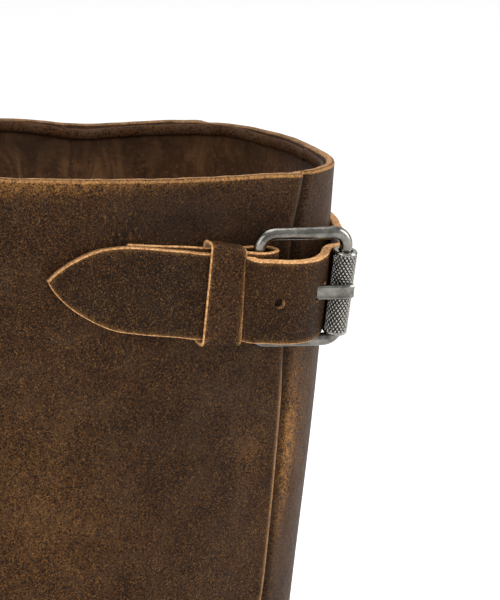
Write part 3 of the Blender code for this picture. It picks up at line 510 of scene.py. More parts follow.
def seam_distance(turns):
    """How far behind the nearer side seam a turn lies, at the girth of the collar."""
    return (folded_turn(turns) - SIDE_SEAM) * HALF_GIRTH


def over_lap(turn):
    """How far a strap lifts to pass over the side seam's lap."""
    off = np.abs(seam_distance(turn) + SEAM_LAP / 3)
    return SEAM_STEP * smoothstep(OVER_LAP_REACH - off / SEAM_LAP)


def row_above_sole(turn, height):
    """The row at which a turn of the upper lies a height above the feather line."""
    rows = np.linspace(0, 1.5, 40)
    points = surface(rows, turn)
    return float(np.interp(height, points[:, 2] - feather_z(along_at(points[:, 0])), rows))


# Materials


class Look:
    """A procedural material whose patterns lie in the boot's own coordinates, in metres."""

    def __init__(self, name, **sockets):
        self.material = bpy.data.materials.new(name)
        self.material.use_nodes = True
        self.tree = self.material.node_tree
        self.shader = self.tree.nodes["Principled BSDF"]
        for key, value in sockets.items():
            self.shader.inputs[key.replace("_", " ")].default_value = value
        self.place = self.add("ShaderNodeTexCoord").outputs["Object"]

    def feed(self, socket, value):
        """Links a node's output to a socket, or sets the socket to a plain value."""
        if isinstance(value, bpy.types.NodeSocket):
            self.tree.links.new(value, socket)
        else:
            socket.default_value = value

    def add(self, kind, settings=(), **inputs):
        node = self.tree.nodes.new(kind)
        for key, value in dict(settings).items():
            setattr(node, key, value)
        for key, value in inputs.items():
            self.feed(node.inputs[key.replace("_", " ")], value)
        return node

    def put(self, socket, value):
        self.feed(self.shader.inputs[socket], value)

    def noise(self, scale, detail=3.0, roughness=0.55, stretch=(1, 1, 1), turn=(0, 0, 0), distortion=0.0):
        place = self.add("ShaderNodeMapping", Vector=self.place, Scale=stretch, Rotation=turn).outputs[0]
        settings = {"Scale": scale, "Detail": detail, "Roughness": roughness, "Distortion": distortion}
        return self.add("ShaderNodeTexNoise", Vector=place, **settings).outputs[0]

    def ramp(self, value, low, high, to_low=0.0, to_high=1.0):
        """A smooth step from one value to another as a pattern goes from low to high."""
        settings = {"interpolation_type": "SMOOTHSTEP"}
        ends = {"From_Min": low, "From_Max": high, "To_Min": to_low, "To_Max": to_high}
        return self.add("ShaderNodeMapRange", settings, Value=value, **ends).outputs[0]

    def mix(self, share, first, second):
        """A share of the second colour over the first."""
        node = self.add("ShaderNodeMix", {"data_type": "RGBA"})
        self.feed(node.inputs[0], share)
        for index, colour in ((6, first), (7, second)):
            self.feed(node.inputs[index], (*colour, 1.0) if isinstance(colour, tuple) else colour)
        return node.outputs[2]

    def math(self, operation, first, second):
        node = self.add("ShaderNodeMath", {"operation": operation})
        self.feed(node.inputs[0], first)
        self.feed(node.inputs[1], second)
        return node.outputs[0]

    def times(self, first, second):
        return self.math("MULTIPLY", first, second)

    def plus(self, first, second):
        return self.math("ADD", first, second)

    def painted(self, name):
        """A number that the piece's points carry."""
        return self.add("ShaderNodeAttribute", {"attribute_name": name}).outputs["Fac"]

    def bump(self, *heights):
        """Bumps on bumps, each a height from 0 to 1 and its depth in metres."""
        normal = None
        for height, depth in heights:
            node = self.add("ShaderNodeBump", Height=height, Distance=depth)
            if normal:
                self.feed(node.inputs["Normal"], normal)
            normal = node.outputs[0]
        self.put("Normal", normal)


def tinted(colour, share):
    return tuple(part * share for part in colour)


BARK = (0.0250, 0.0094, 0.0029)
BARK_IN_SHADE = (0.008, 0.0037, 0.0022)
BARK_RED = (0.0325, 0.0112, 0.0030)
BARK_GREY = (0.0275, 0.0140, 0.0072)
SPECK_TAN = (0.155, 0.075, 0.024)
BLACK_SPECKS_AND_SHADE = (0.0025, 0.0015, 0.0015)
RAW_TAN = (0.600, 0.330, 0.135)
RAW_MIDDLE = (0.42, 0.21, 0.08)
RAW_DARK = (0.260, 0.110, 0.035)
WORN_AND_HIGHLIGHT_TAN = (0.330, 0.150, 0.040)
PEWTER_DARK, PEWTER_LIGHT = (0.095, 0.089, 0.079), (0.195, 0.185, 0.166)
KNURL_DARK, KNURL_LIGHT = (0.004, 0.004, 0.004), (0.27825, 0.2646, 0.2394)
THREAD_DARK, THREAD_LIGHT = (0.060, 0.035, 0.018), (0.17, 0.105, 0.055)


def waxed_leather(name, dark=1.0, tan=1.0):
    """Brown waxed leather with fine tan and black specks, as it wears when it is pulled over a last."""
    look = Look(name, Roughness=0.55, Specular_IOR_Level=0.09, Specular_Tint=(1.0, 0.88, 0.76, 1.0))
    fine = look.noise(2700, 2.0, 0.6)
    pores = look.noise(1700, 3.0, 0.65, turn=(0.5, 0.2, 0.7))
    small = look.noise(560, 4.0, 0.6, stretch=(1.0, 1.0, 0.7), turn=(0, 0.5, 0))
    middle = look.noise(95, 4.0, 0.6)
    large = look.noise(17, 3.0, 0.5)
    folds = look.noise(1500, 2.0, 0.5, stretch=(1.0, 1.0, 0.30), turn=(0, 0.55, 0), distortion=0.6)
    grain = look.plus(small, fine)
    shade_and_grime, pucker = look.painted("dark"), look.painted("pucker")
    base = look.mix(look.ramp(middle, 0.35, 0.68), tinted(BARK, dark), tinted(BARK_GREY, dark))
    base = look.mix(look.ramp(large, 0.42, 0.70, 0.0, 0.55), base, BARK_RED)
    # Painted shade where the points are darkened: darker patches, the seam's groove and the creases' hollows
    base = look.mix(look.times(shade_and_grime, 0.75), base, BARK_IN_SHADE)
    specks = look.ramp(look.plus(fine, look.times(small, 0.20)), 0.60, 0.84, 0.0, 0.85 * tan)
    clear = look.plus(1.0, look.times(shade_and_grime, -0.85))
    base = look.mix(look.times(specks, clear), base, SPECK_TAN)
    # Painted shade in the hollows of the puckers and painted highlight on their ridges
    base = look.mix(look.times(look.ramp(folds, 0.52, 0.36, 0.0, 0.55), pucker), base, BLACK_SPECKS_AND_SHADE)
    base = look.mix(look.times(look.ramp(folds, 0.54, 0.70, 0.0, 0.22), pucker), base, WORN_AND_HIGHLIGHT_TAN)
    base = look.mix(look.times(look.painted("worn"), look.ramp(grain, 0.72, 1.12)), base, WORN_AND_HIGHLIGHT_TAN)
    black = look.ramp(look.plus(pores, look.times(middle, 0.25)), 0.63, 0.52, 0.0, 0.85)
    base = look.mix(black, base, BLACK_SPECKS_AND_SHADE)
    base = look.mix(look.painted("raw"), base, look.mix(look.ramp(fine, 0.35, 0.6), RAW_DARK, RAW_TAN))
    # Painted shade deepened nearly to black where it is strongest, as in the seam's groove
    base = look.mix(look.ramp(shade_and_grime, 0.55, 1.0, 0.0, 0.9), base, BLACK_SPECKS_AND_SHADE)
    look.put("Base Color", base)
    look.put("Roughness", look.ramp(grain, 0.7, 1.3, 0.46, 0.70))
    look.bump((middle, 0.00020), (look.times(folds, pucker), 0.00100), (small, 0.00010), (pores, 0.00006))
    return look.material


def raw_edge(name, light=1.0):
    """Tan fibres of a cut leather edge."""
    look = Look(name, Roughness=0.75, Specular_IOR_Level=0.25)
    fibres = look.noise(1300, 3.0, 0.7)
    bands = look.noise(260, 3.0, 0.6, stretch=(0.4, 0.4, 2.4))
    base = look.mix(look.ramp(fibres, 0.36, 0.62), tinted(RAW_DARK, light), tinted(RAW_TAN, light))
    base = look.mix(look.ramp(bands, 0.50, 0.72, 0.0, 0.45), base, tinted(RAW_MIDDLE, light))
    # Darker where the points are darkened: towards the far side of the collar's edge, and the strap's side
    # edges with painted shade and grime
    look.put("Base Color", look.mix(look.painted("dark"), base, BARK))
    look.bump((bands, 0.0003), (fibres, 0.0002))
    return look.material


def flesh_side(name, dark, light):
    """The napped back of the leather, with soft streaks in its fibres."""
    look = Look(name, Roughness=0.92, Specular_IOR_Level=0.10, Sheen_Weight=0.05, Sheen_Roughness=0.6)
    streaks = look.noise(150, 4.0, 0.6, stretch=(1.0, 1.0, 0.4), turn=(0.0, 0.75, 0.3), distortion=1.2)
    broad = look.noise(48, 3.0, 0.55)
    nap = look.noise(800, 3.0, 0.6)
    base = look.mix(look.ramp(streaks, 0.38, 0.72), dark, light)
    base = look.mix(look.ramp(broad, 0.38, 0.66, 0.0, 0.75), base, tinted(dark, 0.55))
    base = look.mix(look.ramp(nap, 0.48, 0.75, 0.0, 0.40), base, light)
    # Painted shadow where the points are darkened, as below the collar's facing inside the upper
    base = look.mix(look.painted("dark"), base, tinted(dark, 0.30))
    base = look.mix(look.painted("raw"), base, look.mix(look.ramp(nap, 0.35, 0.6), RAW_DARK, RAW_TAN))
    look.put("Base Color", base)
    look.bump((streaks, 0.0007), (nap, 0.0003))
    return look.material


def pewter(name, knurled=False):
    """Aged grey metal, cloudy where it is plain and dark in the hollows of its knurl."""
    look = Look(name, Metallic=1.0, Roughness=0.3)
    cloud = look.noise(260, 4.0, 0.6)
    fine = look.noise(1900, 3.0, 0.6)
    if knurled:
        look.put("Base Color", look.mix(look.painted("worn"), KNURL_DARK, KNURL_LIGHT))
    else:
        look.put("Base Color", look.mix(look.ramp(cloud, 0.36, 0.66), PEWTER_DARK, PEWTER_LIGHT))
    look.put("Roughness", look.ramp(look.plus(cloud, fine), 0.7, 1.3, 0.13, 0.27))
    look.bump((cloud, 0.00006), (fine, 0.00003))
    return look.material


def sole_leather(name, colour):
    """Burnished sole leather, dark in the lines where its layers meet."""
    look = Look(name, Roughness=0.45, Specular_IOR_Level=0.45, Coat_Weight=0.12, Coat_Roughness=0.3)
    grain = look.noise(500, 4.0, 0.6, stretch=(0.5, 0.5, 2.0))
    cloud = look.noise(45, 3.0, 0.5)
    base = look.mix(look.ramp(grain, 0.35, 0.7), tinted(colour, 0.55), colour)
    base = look.mix(look.ramp(cloud, 0.45, 0.7, 0.0, 0.5), base, tinted(colour, 1.7))
    look.put("Base Color", look.mix(look.painted("dark"), base, tinted(colour, 0.2)))
    look.put("Roughness", look.ramp(grain, 0.3, 0.7, 0.34, 0.60))
    look.bump((cloud, 0.0003), (grain, 0.0002))
    return look.material


def plain_insole(name):
    """Pale leather of the insole, darker in soft clouds."""
    look = Look(name, Roughness=0.7, Specular_IOR_Level=0.3)
    grain = look.noise(600, 4.0, 0.6)
    cloud = look.noise(30, 3.0, 0.5)
    base = look.mix(look.ramp(cloud, 0.35, 0.7), (0.40, 0.25, 0.13), (0.26, 0.15, 0.075))
    look.put("Base Color", look.mix(look.ramp(grain, 0.4, 0.7, 0.0, 0.4), base, (0.15, 0.085, 0.04)))
    look.bump((grain, 0.0002))
    return look.material


def black_rubber(name):
    """Matte rubber, a little dusty in places."""
    look = Look(name, Roughness=0.75, Specular_IOR_Level=0.35)
    grain = look.noise(700, 4.0, 0.6)
    cloud = look.noise(60, 3.0, 0.5)
    base = look.mix(look.ramp(grain, 0.4, 0.7), (0.012, 0.012, 0.012), (0.030, 0.029, 0.028))
    look.put("Base Color", look.mix(look.ramp(cloud, 0.5, 0.75, 0.0, 0.5), base, (0.055, 0.052, 0.048)))
    look.bump((grain, 0.0003), (cloud, 0.0003))
    return look.material


def waxed_thread(name):
    """Brown thread with a fine twist."""
    look = Look(name, Roughness=0.6, Specular_IOR_Level=0.35)
    twist = look.noise(2200, 2.0, 0.5)
    look.put("Base Color", look.mix(look.ramp(twist, 0.35, 0.65), THREAD_DARK, THREAD_LIGHT))
    look.bump((twist, 0.0002))
    return look.material


LEATHER = waxed_leather("waxed_brown_leather")
STRAP_LEATHER = waxed_leather("waxed_strap_leather", dark=0.48, tan=0.88)
KEEPER_LEATHER = waxed_leather("waxed_keeper_leather", dark=0.95, tan=1.1)
FACING = waxed_leather("collar_facing_leather", dark=1.9, tan=0.25)
RIM_EDGE = raw_edge("collar_edge", light=0.62)
EDGE = raw_edge("raw_tan_edge")
DARK_EDGE = raw_edge("dressed_edge", light=0.30)
HOLE_EDGE = raw_edge("hole_edge", light=0.60)
# Painted shadow: the floor of the strap's punched hole, nearly black as if in shade
HOLE_SHADOW = raw_edge("hole_floor_painted_shadow", light=0.03)
FLESH = flesh_side("napped_inside", (0.050, 0.020, 0.006), (0.150, 0.070, 0.028))
STRAP_BACK = flesh_side("strap_back", (0.26, 0.17, 0.11), (0.52, 0.42, 0.34))
METAL = pewter("aged_pewter")
KNURLED_METAL = pewter("aged_pewter_knurled", knurled=True)
SOLE = sole_leather("burnished_sole", (0.075, 0.042, 0.022))
HEEL = sole_leather("burnished_heel", (0.060, 0.034, 0.018))
TREAD = sole_leather("sole_bottom", (0.20, 0.115, 0.06))
INSOLE = plain_insole("insole_leather_grain")
RUBBER = black_rubber("black_rubber_grain")
THREAD = waxed_thread("waxed_thread_twist")


# Mesh tools


def add_object(name, data):
    made = bpy.data.objects.new(name, data)
    bpy.context.scene.collection.objects.link(made)
    return made


def make_mesh(name, points, faces, looks, kinds=None):
    """A mesh whose faces each have one of the looks, by its index, or else the first."""
    mesh = bpy.data.meshes.new(name)
    mesh.from_pydata(np.asarray(points, float).reshape(-1, 3).tolist(), [], [list(face) for face in faces])
    for look in looks:
        mesh.materials.append(look)
    if kinds is not None:
        mesh.polygons.foreach_set("material_index", np.asarray(kinds, np.int32))
    return mesh


def piece(name, points, faces, looks, kinds=None, node=None, paint=(), sharp=50):
    """A shown piece of the boot from points and faces, which may stand for a node of the model."""
    mesh = make_mesh(name, points, faces, looks, kinds)
    for key, values in dict(paint).items():
        layer = mesh.attributes.new(key, "FLOAT", "POINT")
        layer.data.foreach_set("value", np.asarray(values, np.float32).ravel())
    mesh.update()
    mesh.shade_smooth()
    mesh.set_sharp_from_angle(angle=math.radians(sharp))
    made = add_object(name, mesh)
    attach(made, "root")
    if node:
        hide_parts(node)
    return made


def tube_faces(count, around, closed=False, turned=False):
    """Faces between loops of as many points each."""
    faces = []
    for i in range(count - (not closed)):
        here, there = i * around, (i + 1) % count * around
        for j in range(around):
            k = (j + 1) % around
            corners = (here + j, here + k, there + k, there + j)
            faces.append(corners[::-1] if turned else corners)
    return faces


def sheet_faces(rows, columns, turned=False):
    """Faces between open rows of as many points each."""
    faces = []
    for i in range(rows - 1):
        for j in range(columns - 1):
            a = i * columns + j
            corners = (a, a + 1, a + columns + 1, a + columns)
            faces.append(corners[::-1] if turned else corners)
    return faces


def loop_ends(around, last):
    """Two faces that close the first loop and the last of a tube."""
    return [tuple(range(around))[::-1], tuple(range(last, last + around))]


def refine(rows, step):
    """Rows of three points with smooth rows between them, about a step apart."""
    rows = np.asarray(rows)
    flat = rows.reshape(len(rows), -1)
    middle = rows[:, rows.shape[1] // 2]
    made = []
    for i in range(len(rows) - 1):
        count = max(1, round(float(np.linalg.norm(middle[i + 1] - middle[i])) / step))
        made += [smooth_table(flat, i + k / count) for k in range(count)]
    made.append(flat[-1])
    return np.array(made).reshape(-1, *rows.shape[1:])


def band(
    name, rows, thickness, looks, closed=False, corner=0.0003, crown=0.00012, steps=13,
    frays=(0.45, 0.45), shade_and_grime=0.0,
):
    """A strip with round corners along rows of three points across it; looks are face, edge and back."""
    rows = np.asarray(rows)
    half = np.maximum(np.linalg.norm(rows[:, 2] - rows[:, 0], axis=1) / 2, corner * 1.3)
    inset = 1 - corner / half[:, None]
    flat = np.sin(np.linspace(-1, 1, steps) * math.pi / 2)[None] * inset
    one = np.ones((len(rows), 2))
    u = np.concatenate([flat, one, flat[:, ::-1], -one], axis=1)
    top = thickness / 2 + crown * (1 - flat**2)
    low = thickness / 2 - corner
    side = np.array([[low, -low]]) * one
    out = np.concatenate([top, side, -thickness / 2 + 0 * flat, side[:, ::-1]], axis=1)
    a, b, c = rows[:, None, 0], rows[:, None, 1], rows[:, None, 2]
    w = u[..., None]
    place = a * w * (w - 1) / 2 + b * (1 - w**2) + c * w * (w + 1) / 2
    by_u = a * (w - 0.5) - 2 * b * w + c * (w + 0.5)
    if closed:
        ring = np.concatenate([place[-1:], place, place[:1]])
        by_row = ring[2:] - ring[:-2]
    else:
        by_row = np.gradient(place, axis=0)
    points = place + unit(np.cross(by_u, by_row)) * out[..., None]
    around = u.shape[1]
    faces = tube_faces(len(rows), around, closed)
    kinds = ([0] * (steps - 1) + [1] * 3 + [2] * (steps - 1) + [1] * 3) * (len(rows) - (not closed))
    if not closed:
        faces += loop_ends(around, (len(rows) - 1) * around)
        kinds += [1, 1]
    from_edge = (1 - np.abs(u)) * half[:, None]
    worn = 0.20 * bell(from_edge / EDGE_WEAR_REACH) * (0.4 + 0.6 * rng.random(u.shape))
    frayed = np.where(u < 0, *frays) * bell(from_edge / FRAY_REACH) * (0.3 + 0.7 * rng.random(u.shape))
    dark = 0 * u
    # Painted shade and grime: the lower corners of the side edges, next to the upper, darken as given
    dark[:, [steps + 1, 2 * steps + 2]] = np.reshape(shade_and_grime, (-1, 1))
    paint = {"worn": worn, "dark": dark, "raw": frayed}
    return piece(name, points, faces, looks, kinds, name, paint, sharp=38)


def carve(target, cutters):
    """Cuts holes through a piece for good."""
    for cutter in cutters:
        cut = target.modifiers.new("hole", "BOOLEAN")
        cut.operation = "DIFFERENCE"
        cut.solver = "EXACT"
        cut.material_mode = "TRANSFER"
        cut.use_self = True
        cut.object = cutter
    bpy.context.view_layer.update()
    evaluated = target.evaluated_get(bpy.context.evaluated_depsgraph_get())
    mesh = bpy.data.meshes.new_from_object(evaluated)
    target.modifiers.clear()
    target.data = mesh
    for cutter in cutters:
        bpy.data.objects.remove(cutter)


def rod(name, centre, buckle, radii, length, look, floor=None, sides=20):
    """A cutter: an oval rod out of a buckle's frame, which may leave a floor of its own look."""
    axis, other = unit(buckle.out), unit(buckle.along)
    third = np.cross(axis, other)
    ring = [other * math.cos(t) * radii[0] + third * math.sin(t) * radii[1] for t in full_turn(sides)]
    points = [[centre + way * axis * length / 2 + p for p in ring] for way in (-1, 1)]
    faces = tube_faces(2, sides) + loop_ends(sides, sides)
    made = add_object(name, make_mesh(name, points, faces, [look, floor or look], [0] * sides + [1, 1]))
    made.hide_render = True
    return made


def stitches(name, line, normals, length=0.0023, gap=0.0011, radius=0.00038):
    """A row of waxed stitches laid end to end along a line on the leather."""
    run = run_length(line)
    rings, around = np.linspace(-1, 1, 7), full_turn(8)
    points, faces = [], []
    for start in np.arange(gap / 2, run[-1] - length, length + gap):
        ends = along_line((start, start + length), run, line)
        out = unit(along_line(start + length / 2, run, normals))
        way = unit(ends[1] - ends[0])
        side = np.cross(way, out)
        stitch = tube_faces(len(rings), len(around), turned=True)
        stitch += [face[::-1] for face in loop_ends(len(around), (len(rings) - 1) * len(around))]
        faces += [tuple(len(points) + v for v in face) for face in stitch]
        for r in rings:
            size = radius * math.sqrt(max(0.0, 1 - abs(r) ** 2.6)) + 0.00004
            core = ends.mean(0) + way * r * length / 2 + out * radius * (0.55 - 0.9 * r * r)
            points += [core + size * (side * math.cos(t) + 0.8 * out * math.sin(t)) for t in around]
    return piece(name, points, faces, [THREAD], sharp=80)


# The upper

LOOP_TURNS = np.linspace(-1, 1, 361)[:-1]


def seam_forward(row):
    """How far the side seams lie in front of their plain place at a row, in turns."""
    drop = np.linalg.norm(surface(TOP_ROW, -SIDE_SEAM) - surface(row, -SIDE_SEAM), axis=-1)
    table = np.array(SEAM_BOW)
    places = np.interp(drop, table[:, 0], np.arange(len(table)))
    return np.array([smooth_table(table[:, 1:], at)[0] for at in places]) / HALF_GIRTH


def crease_depth(row, turn):
    """How far the leather's creases stand out from its plain face, below nought in their hollows."""
    total = np.zeros(np.broadcast(row, turn).shape)
    for at_row, at_turn, half_turn, half_row, tilt, depth in CREASES:
        off = (turn - at_turn + 1) % 2 - 1
        across = (row - at_row - tilt * np.abs(off) * 0.6 - 0.12 * np.sin(off * 9)) / half_row
        along = bell(off / half_turn * 1.2)
        total += depth * along * (-bell(across) + 0.55 * bell(across - 1.7) + 0.45 * bell(across + 1.7))
    return total


def crease_shade(creases):
    return 0.5 * np.clip(-creases / 0.001, 0, 1)


def rim_wave(turn):
    """How far the raw edge of the collar stands above its plain height."""
    total = np.zeros(np.shape(turn))
    for at_turn, half_turn, height in RIM_WAVES:
        off = (turn - at_turn + 1) % 2 - 1
        total += height * bell(off / half_turn)
    return total + 0.00005 * np.sin(turn * 61 + 1.3) + 0.00003 * np.sin(turn * 143)


def seam_relief(distance):
    """The side seam's profile: a lap that rounds over, a lifted lip and a groove behind it."""
    ahead = smoothstep(1 + distance / SEAM_LAP)
    lap = SEAM_STEP * np.where(distance > 0, smoothstep(1 - distance / SEAM_ROUND), ahead)
    lip = SEAM_LIP * bell((distance - LIP_AT) / LIP_HALF)
    groove = -SEAM_GROOVE * bell((distance - GROOVE_AT) / GROOVE_HALF)
    return lap + lip + groove


def upper_columns():
    """Columns round the upper as shares from the front, close together at the side seam."""
    near = SIDE_SEAM + np.array(SEAM_COLUMNS) * 0.001 / HALF_GIRTH
    ahead = np.linspace(0, near[0], COLUMNS_AHEAD)[:-1]
    behind = np.linspace(near[-1], 1, COLUMNS_BEHIND)[1:]
    half = np.concatenate([ahead, near, behind])
    return np.concatenate([-half[:0:-1], half[:-1]])


def patch_weight(points, table):
    """The greatest weight that the patches of a table have at points on the outer side."""
    total = np.zeros(points.shape[:-1])
    for x, z, half_x, half_z, weight in table:
        spot = bell((points[..., 0] - x) / half_x) * bell((points[..., 2] - z) / half_z)
        total = np.maximum(total, weight * spot)
    return np.where(points[..., 1] < 0.01, total, 0.0)


def collar_line(turns):
    """Points of the collar's plain top, and level directions out from it."""
    top = surface(TOP_ROW, turns)
    normal = surface(TOP_ROW, turns, 1.0) - top
    normal[:, 2] = 0
    return top, unit(normal)


def raise_to_waves(wall, wave):
    """Moves the top of a wall with the waves of its raw edge."""
    wall[..., 2] += smoothstep((wall[..., 2] - (COLLAR_HEIGHT - RIM_FADE)) / RIM_FADE) * wave


def rim_loops(columns, turns, wave, relief):
    """The collar's raw edge: loops over its rounded outer corner and then over its inner corner."""
    top, normal = collar_line(turns)
    rough = (0.00005 * np.sin(columns * 211) + 0.00004 * np.sin(columns * 97 + 2))[:, None]
    corners = [(angle, RIM_ROUND, relief[:, None], -1, 0.3) for angle in (8, 32, 58, 82)]
    corners += [(angle, RIM_INSIDE_ROUND, -WALL, 1, 1.0) for angle in (82, 45, 8)]
    loops = []
    for angle, radius, face, way, roughness in corners:
        out = face + way * radius * (1 - math.cos(math.radians(angle)))
        down = radius * (1 - math.sin(math.radians(angle))) - roughness * rough
        loops.append(top + normal * out + (0, 0, 1) * (wave[:, None] - down))
    return np.array(loops)


def paint_upper(outer, rim, inner, distance, seam_share, creases):
    """Raw, worn and puckered places of the upper, and where it is darkened, mostly by painted shade, by its
    rows of points.
    """
    count, outside = len(outer) + len(rim) + len(inner), len(outer)
    inside = outside + len(rim)
    raw, worn, dark, pucker = np.zeros((4, count, outer.shape[1]))
    height = outer[..., 2]
    near_side = smoothstep(0.5 - outer[-1, :, 1] / 0.030)
    near_rim = smoothstep((height - (COLLAR_HEIGHT - RIM_WEAR)) / RIM_WEAR)
    below_strap = smoothstep((BELOW_STRAP - height) / BELOW_STRAP_FADE)
    seam_line = bell((distance - SEAM_TAN_AT) / SEAM_TAN_HALF) * seam_share
    streak = bell((distance - STREAK_AT) / STREAK_HALF) * bell((height - STREAK_HEIGHT) / STREAK_HALF_HEIGHT)
    # Painted shade along the seam's groove
    groove_shade = bell((distance - SEAM_SHADE_AT) / SEAM_SHADE_HALF) * seam_share
    frayed = (0.06 + 0.5 * near_rim + 0.40 * below_strap) * (0.5 + 0.5 * rng.random(distance.shape))
    raw[:outside] = frayed * seam_line
    raw[outside : outside + 2] = 0.25 * near_side
    patches = patch_weight(outer, WORN_PATCHES)
    worn[:outside] = np.maximum.reduce([patches, 0.45 * near_rim, 0.75 * streak])
    worn[outside : outside + 3] = 0.25 + 0.35 * near_side
    # Painted shade on the outer face: the darker patches, the seam's groove and the creases' hollows
    patches = patch_weight(outer, SHADE_PATCHES)
    dark[:outside] = np.maximum.reduce([patches, groove_shade, crease_shade(creases)])
    dark[outside + 3 : inside] = (0.10 + 0.60 * (1 - near_side)) * (0.6 + 0.4 * rng.random(outer.shape[1]))
    # Painted shadow in a band inside the wall, just below the collar's facing
    below_rim = COLLAR_HEIGHT - inner[..., 2]
    dark[inside:] = 0.75 * bell((below_rim - INSIDE_SHADOW_BELOW) / INSIDE_SHADOW_HALF)
    pucker[:outside] = patch_weight(outer, PUCKERS)
    return {"raw": raw, "worn": worn, "dark": dark, "pucker": pucker}


def build_upper():
    """One hollow wall of leather: its grain outside, a raw edge round the collar, napped inside."""
    columns = upper_columns()
    foot = np.linspace(0, ANKLE_ROW, OUTER_ROWS[0])
    shaft = np.linspace(ANKLE_ROW, TOP_ROW - 0.03, OUTER_ROWS[1])[1:]
    rows = np.concatenate([foot, shaft])[:, None]
    bow = seam_forward(rows[:, 0])[:, None] * bell((folded_turn(columns) - SIDE_SEAM) / 0.10)
    turns = columns * (1 - bow / np.maximum(folded_turn(columns), 0.2))
    distance = seam_distance(columns) + 0 * turns
    seam_share = smoothstep(rows / 2.0)
    creases = crease_depth(rows, turns)
    outer = surface(rows, turns, seam_relief(distance) * seam_share + creases)
    wave = rim_wave(turns[-1])
    rim = rim_loops(columns, turns[-1], wave, seam_relief(distance[-1]))
    shaft = np.linspace(TOP_ROW - 0.05, ANKLE_ROW, INNER_ROWS[0])
    foot = np.linspace(ANKLE_ROW, 0, INNER_ROWS[1])[1:]
    inner = surface(np.concatenate([shaft, foot])[:, None], columns, -WALL)
    raise_to_waves(outer, wave)
    raise_to_waves(inner, wave)
    grid = np.concatenate([outer, rim, inner])
    faces = tube_faces(*grid.shape[:2], closed=True, turned=True)
    kinds = [0] * (len(outer) + 3) + [1] * (len(rim) - 4) + [2] * (len(inner) + 1)
    kinds = np.repeat(kinds, len(columns))
    paint = paint_upper(outer, rim, inner, distance, seam_share, creases)
    looks = [LEATHER, RIM_EDGE, FLESH]
    piece("upper_leather", grid, faces, looks, kinds, "upper", paint)


def build_collar_facing():
    """The rolled facing sewn round the inside of the collar, just below its raw edge."""
    top, normal = collar_line(LOOP_TURNS)
    wave = rim_wave(LOOP_TURNS) + 0.0003 * np.sin(LOOP_TURNS * 17 + 0.6) + 0.0002 * np.sin(LOOP_TURNS * 41)
    loops = []
    for angle in full_turn(20):
        inward = WALL + FACING_HALF_WIDTH * (1 + math.cos(angle)) + 0.0001
        rise = FACING_HALF_HEIGHT * (math.sin(angle) - 1) - FACING_DROP
        loops.append(top - normal * inward + (wave + rise)[:, None] * (0, 0, 1))
    grid = np.array(loops).transpose(1, 0, 2)
    faces = tube_faces(*grid.shape[:2], closed=True, turned=True)
    piece("collar_facing", grid, faces, [FACING])


build_upper()
build_collar_facing()


# Straps and buckles


class Seat:
    """The line that a strap follows over the upper; across counts to its right, seen from outside."""

    def __init__(self, rows, turns, bar_turn):
        self.rows, self.turns = np.asarray(rows), np.asarray(turns)
        line = surface(self.rows, self.turns)
        run = run_length(line)
        way = np.sign(self.turns[-1] - self.turns[0])
        self.run = run - np.interp(way * bar_turn, way * self.turns, run)
        by_row, by_turn = surface_steps(self.rows, self.turns)
        tangent = unit(np.gradient(line, run, axis=0))
        self.across = unit(np.cross(tangent, unit(np.cross(by_row, by_turn))))
        self.row_step, self.turn_step = steps_for(by_row, by_turn, self.across)

    def at(self, along, across, out):
        """A place: along from the buckle's bar, across from the middle, and out from the upper."""
        tables = (self.rows, self.turns, self.row_step, self.turn_step)
        row, turn, row_step, turn_step = (np.interp(along, self.run, values) for values in tables)
        turn = turn + across * turn_step
        return surface(row + across * row_step, turn, out + over_lap(turn))


def surface_steps(rows, turns):
    """How the upper's face moves with each row and each turn."""
    step = 0.02
    by_row = surface(rows + step, turns) - surface(rows - step, turns)
    by_turn = surface(rows, turns + step) - surface(rows, turns - step)
    return by_row / (2 * step), by_turn / (2 * step)


def steps_for(by_row, by_turn, direction):
    """Rows and turns for one metre in a direction along the face."""

    def dot(first, second):
        return np.sum(first * second, axis=-1)

    rr, rt, tt = dot(by_row, by_row), dot(by_row, by_turn), dot(by_turn, by_turn)
    ra, ta = dot(by_row, direction), dot(by_turn, direction)
    size = rr * tt - rt * rt
    return (ra * tt - ta * rt) / size, (ta * rr - ra * rt) / size


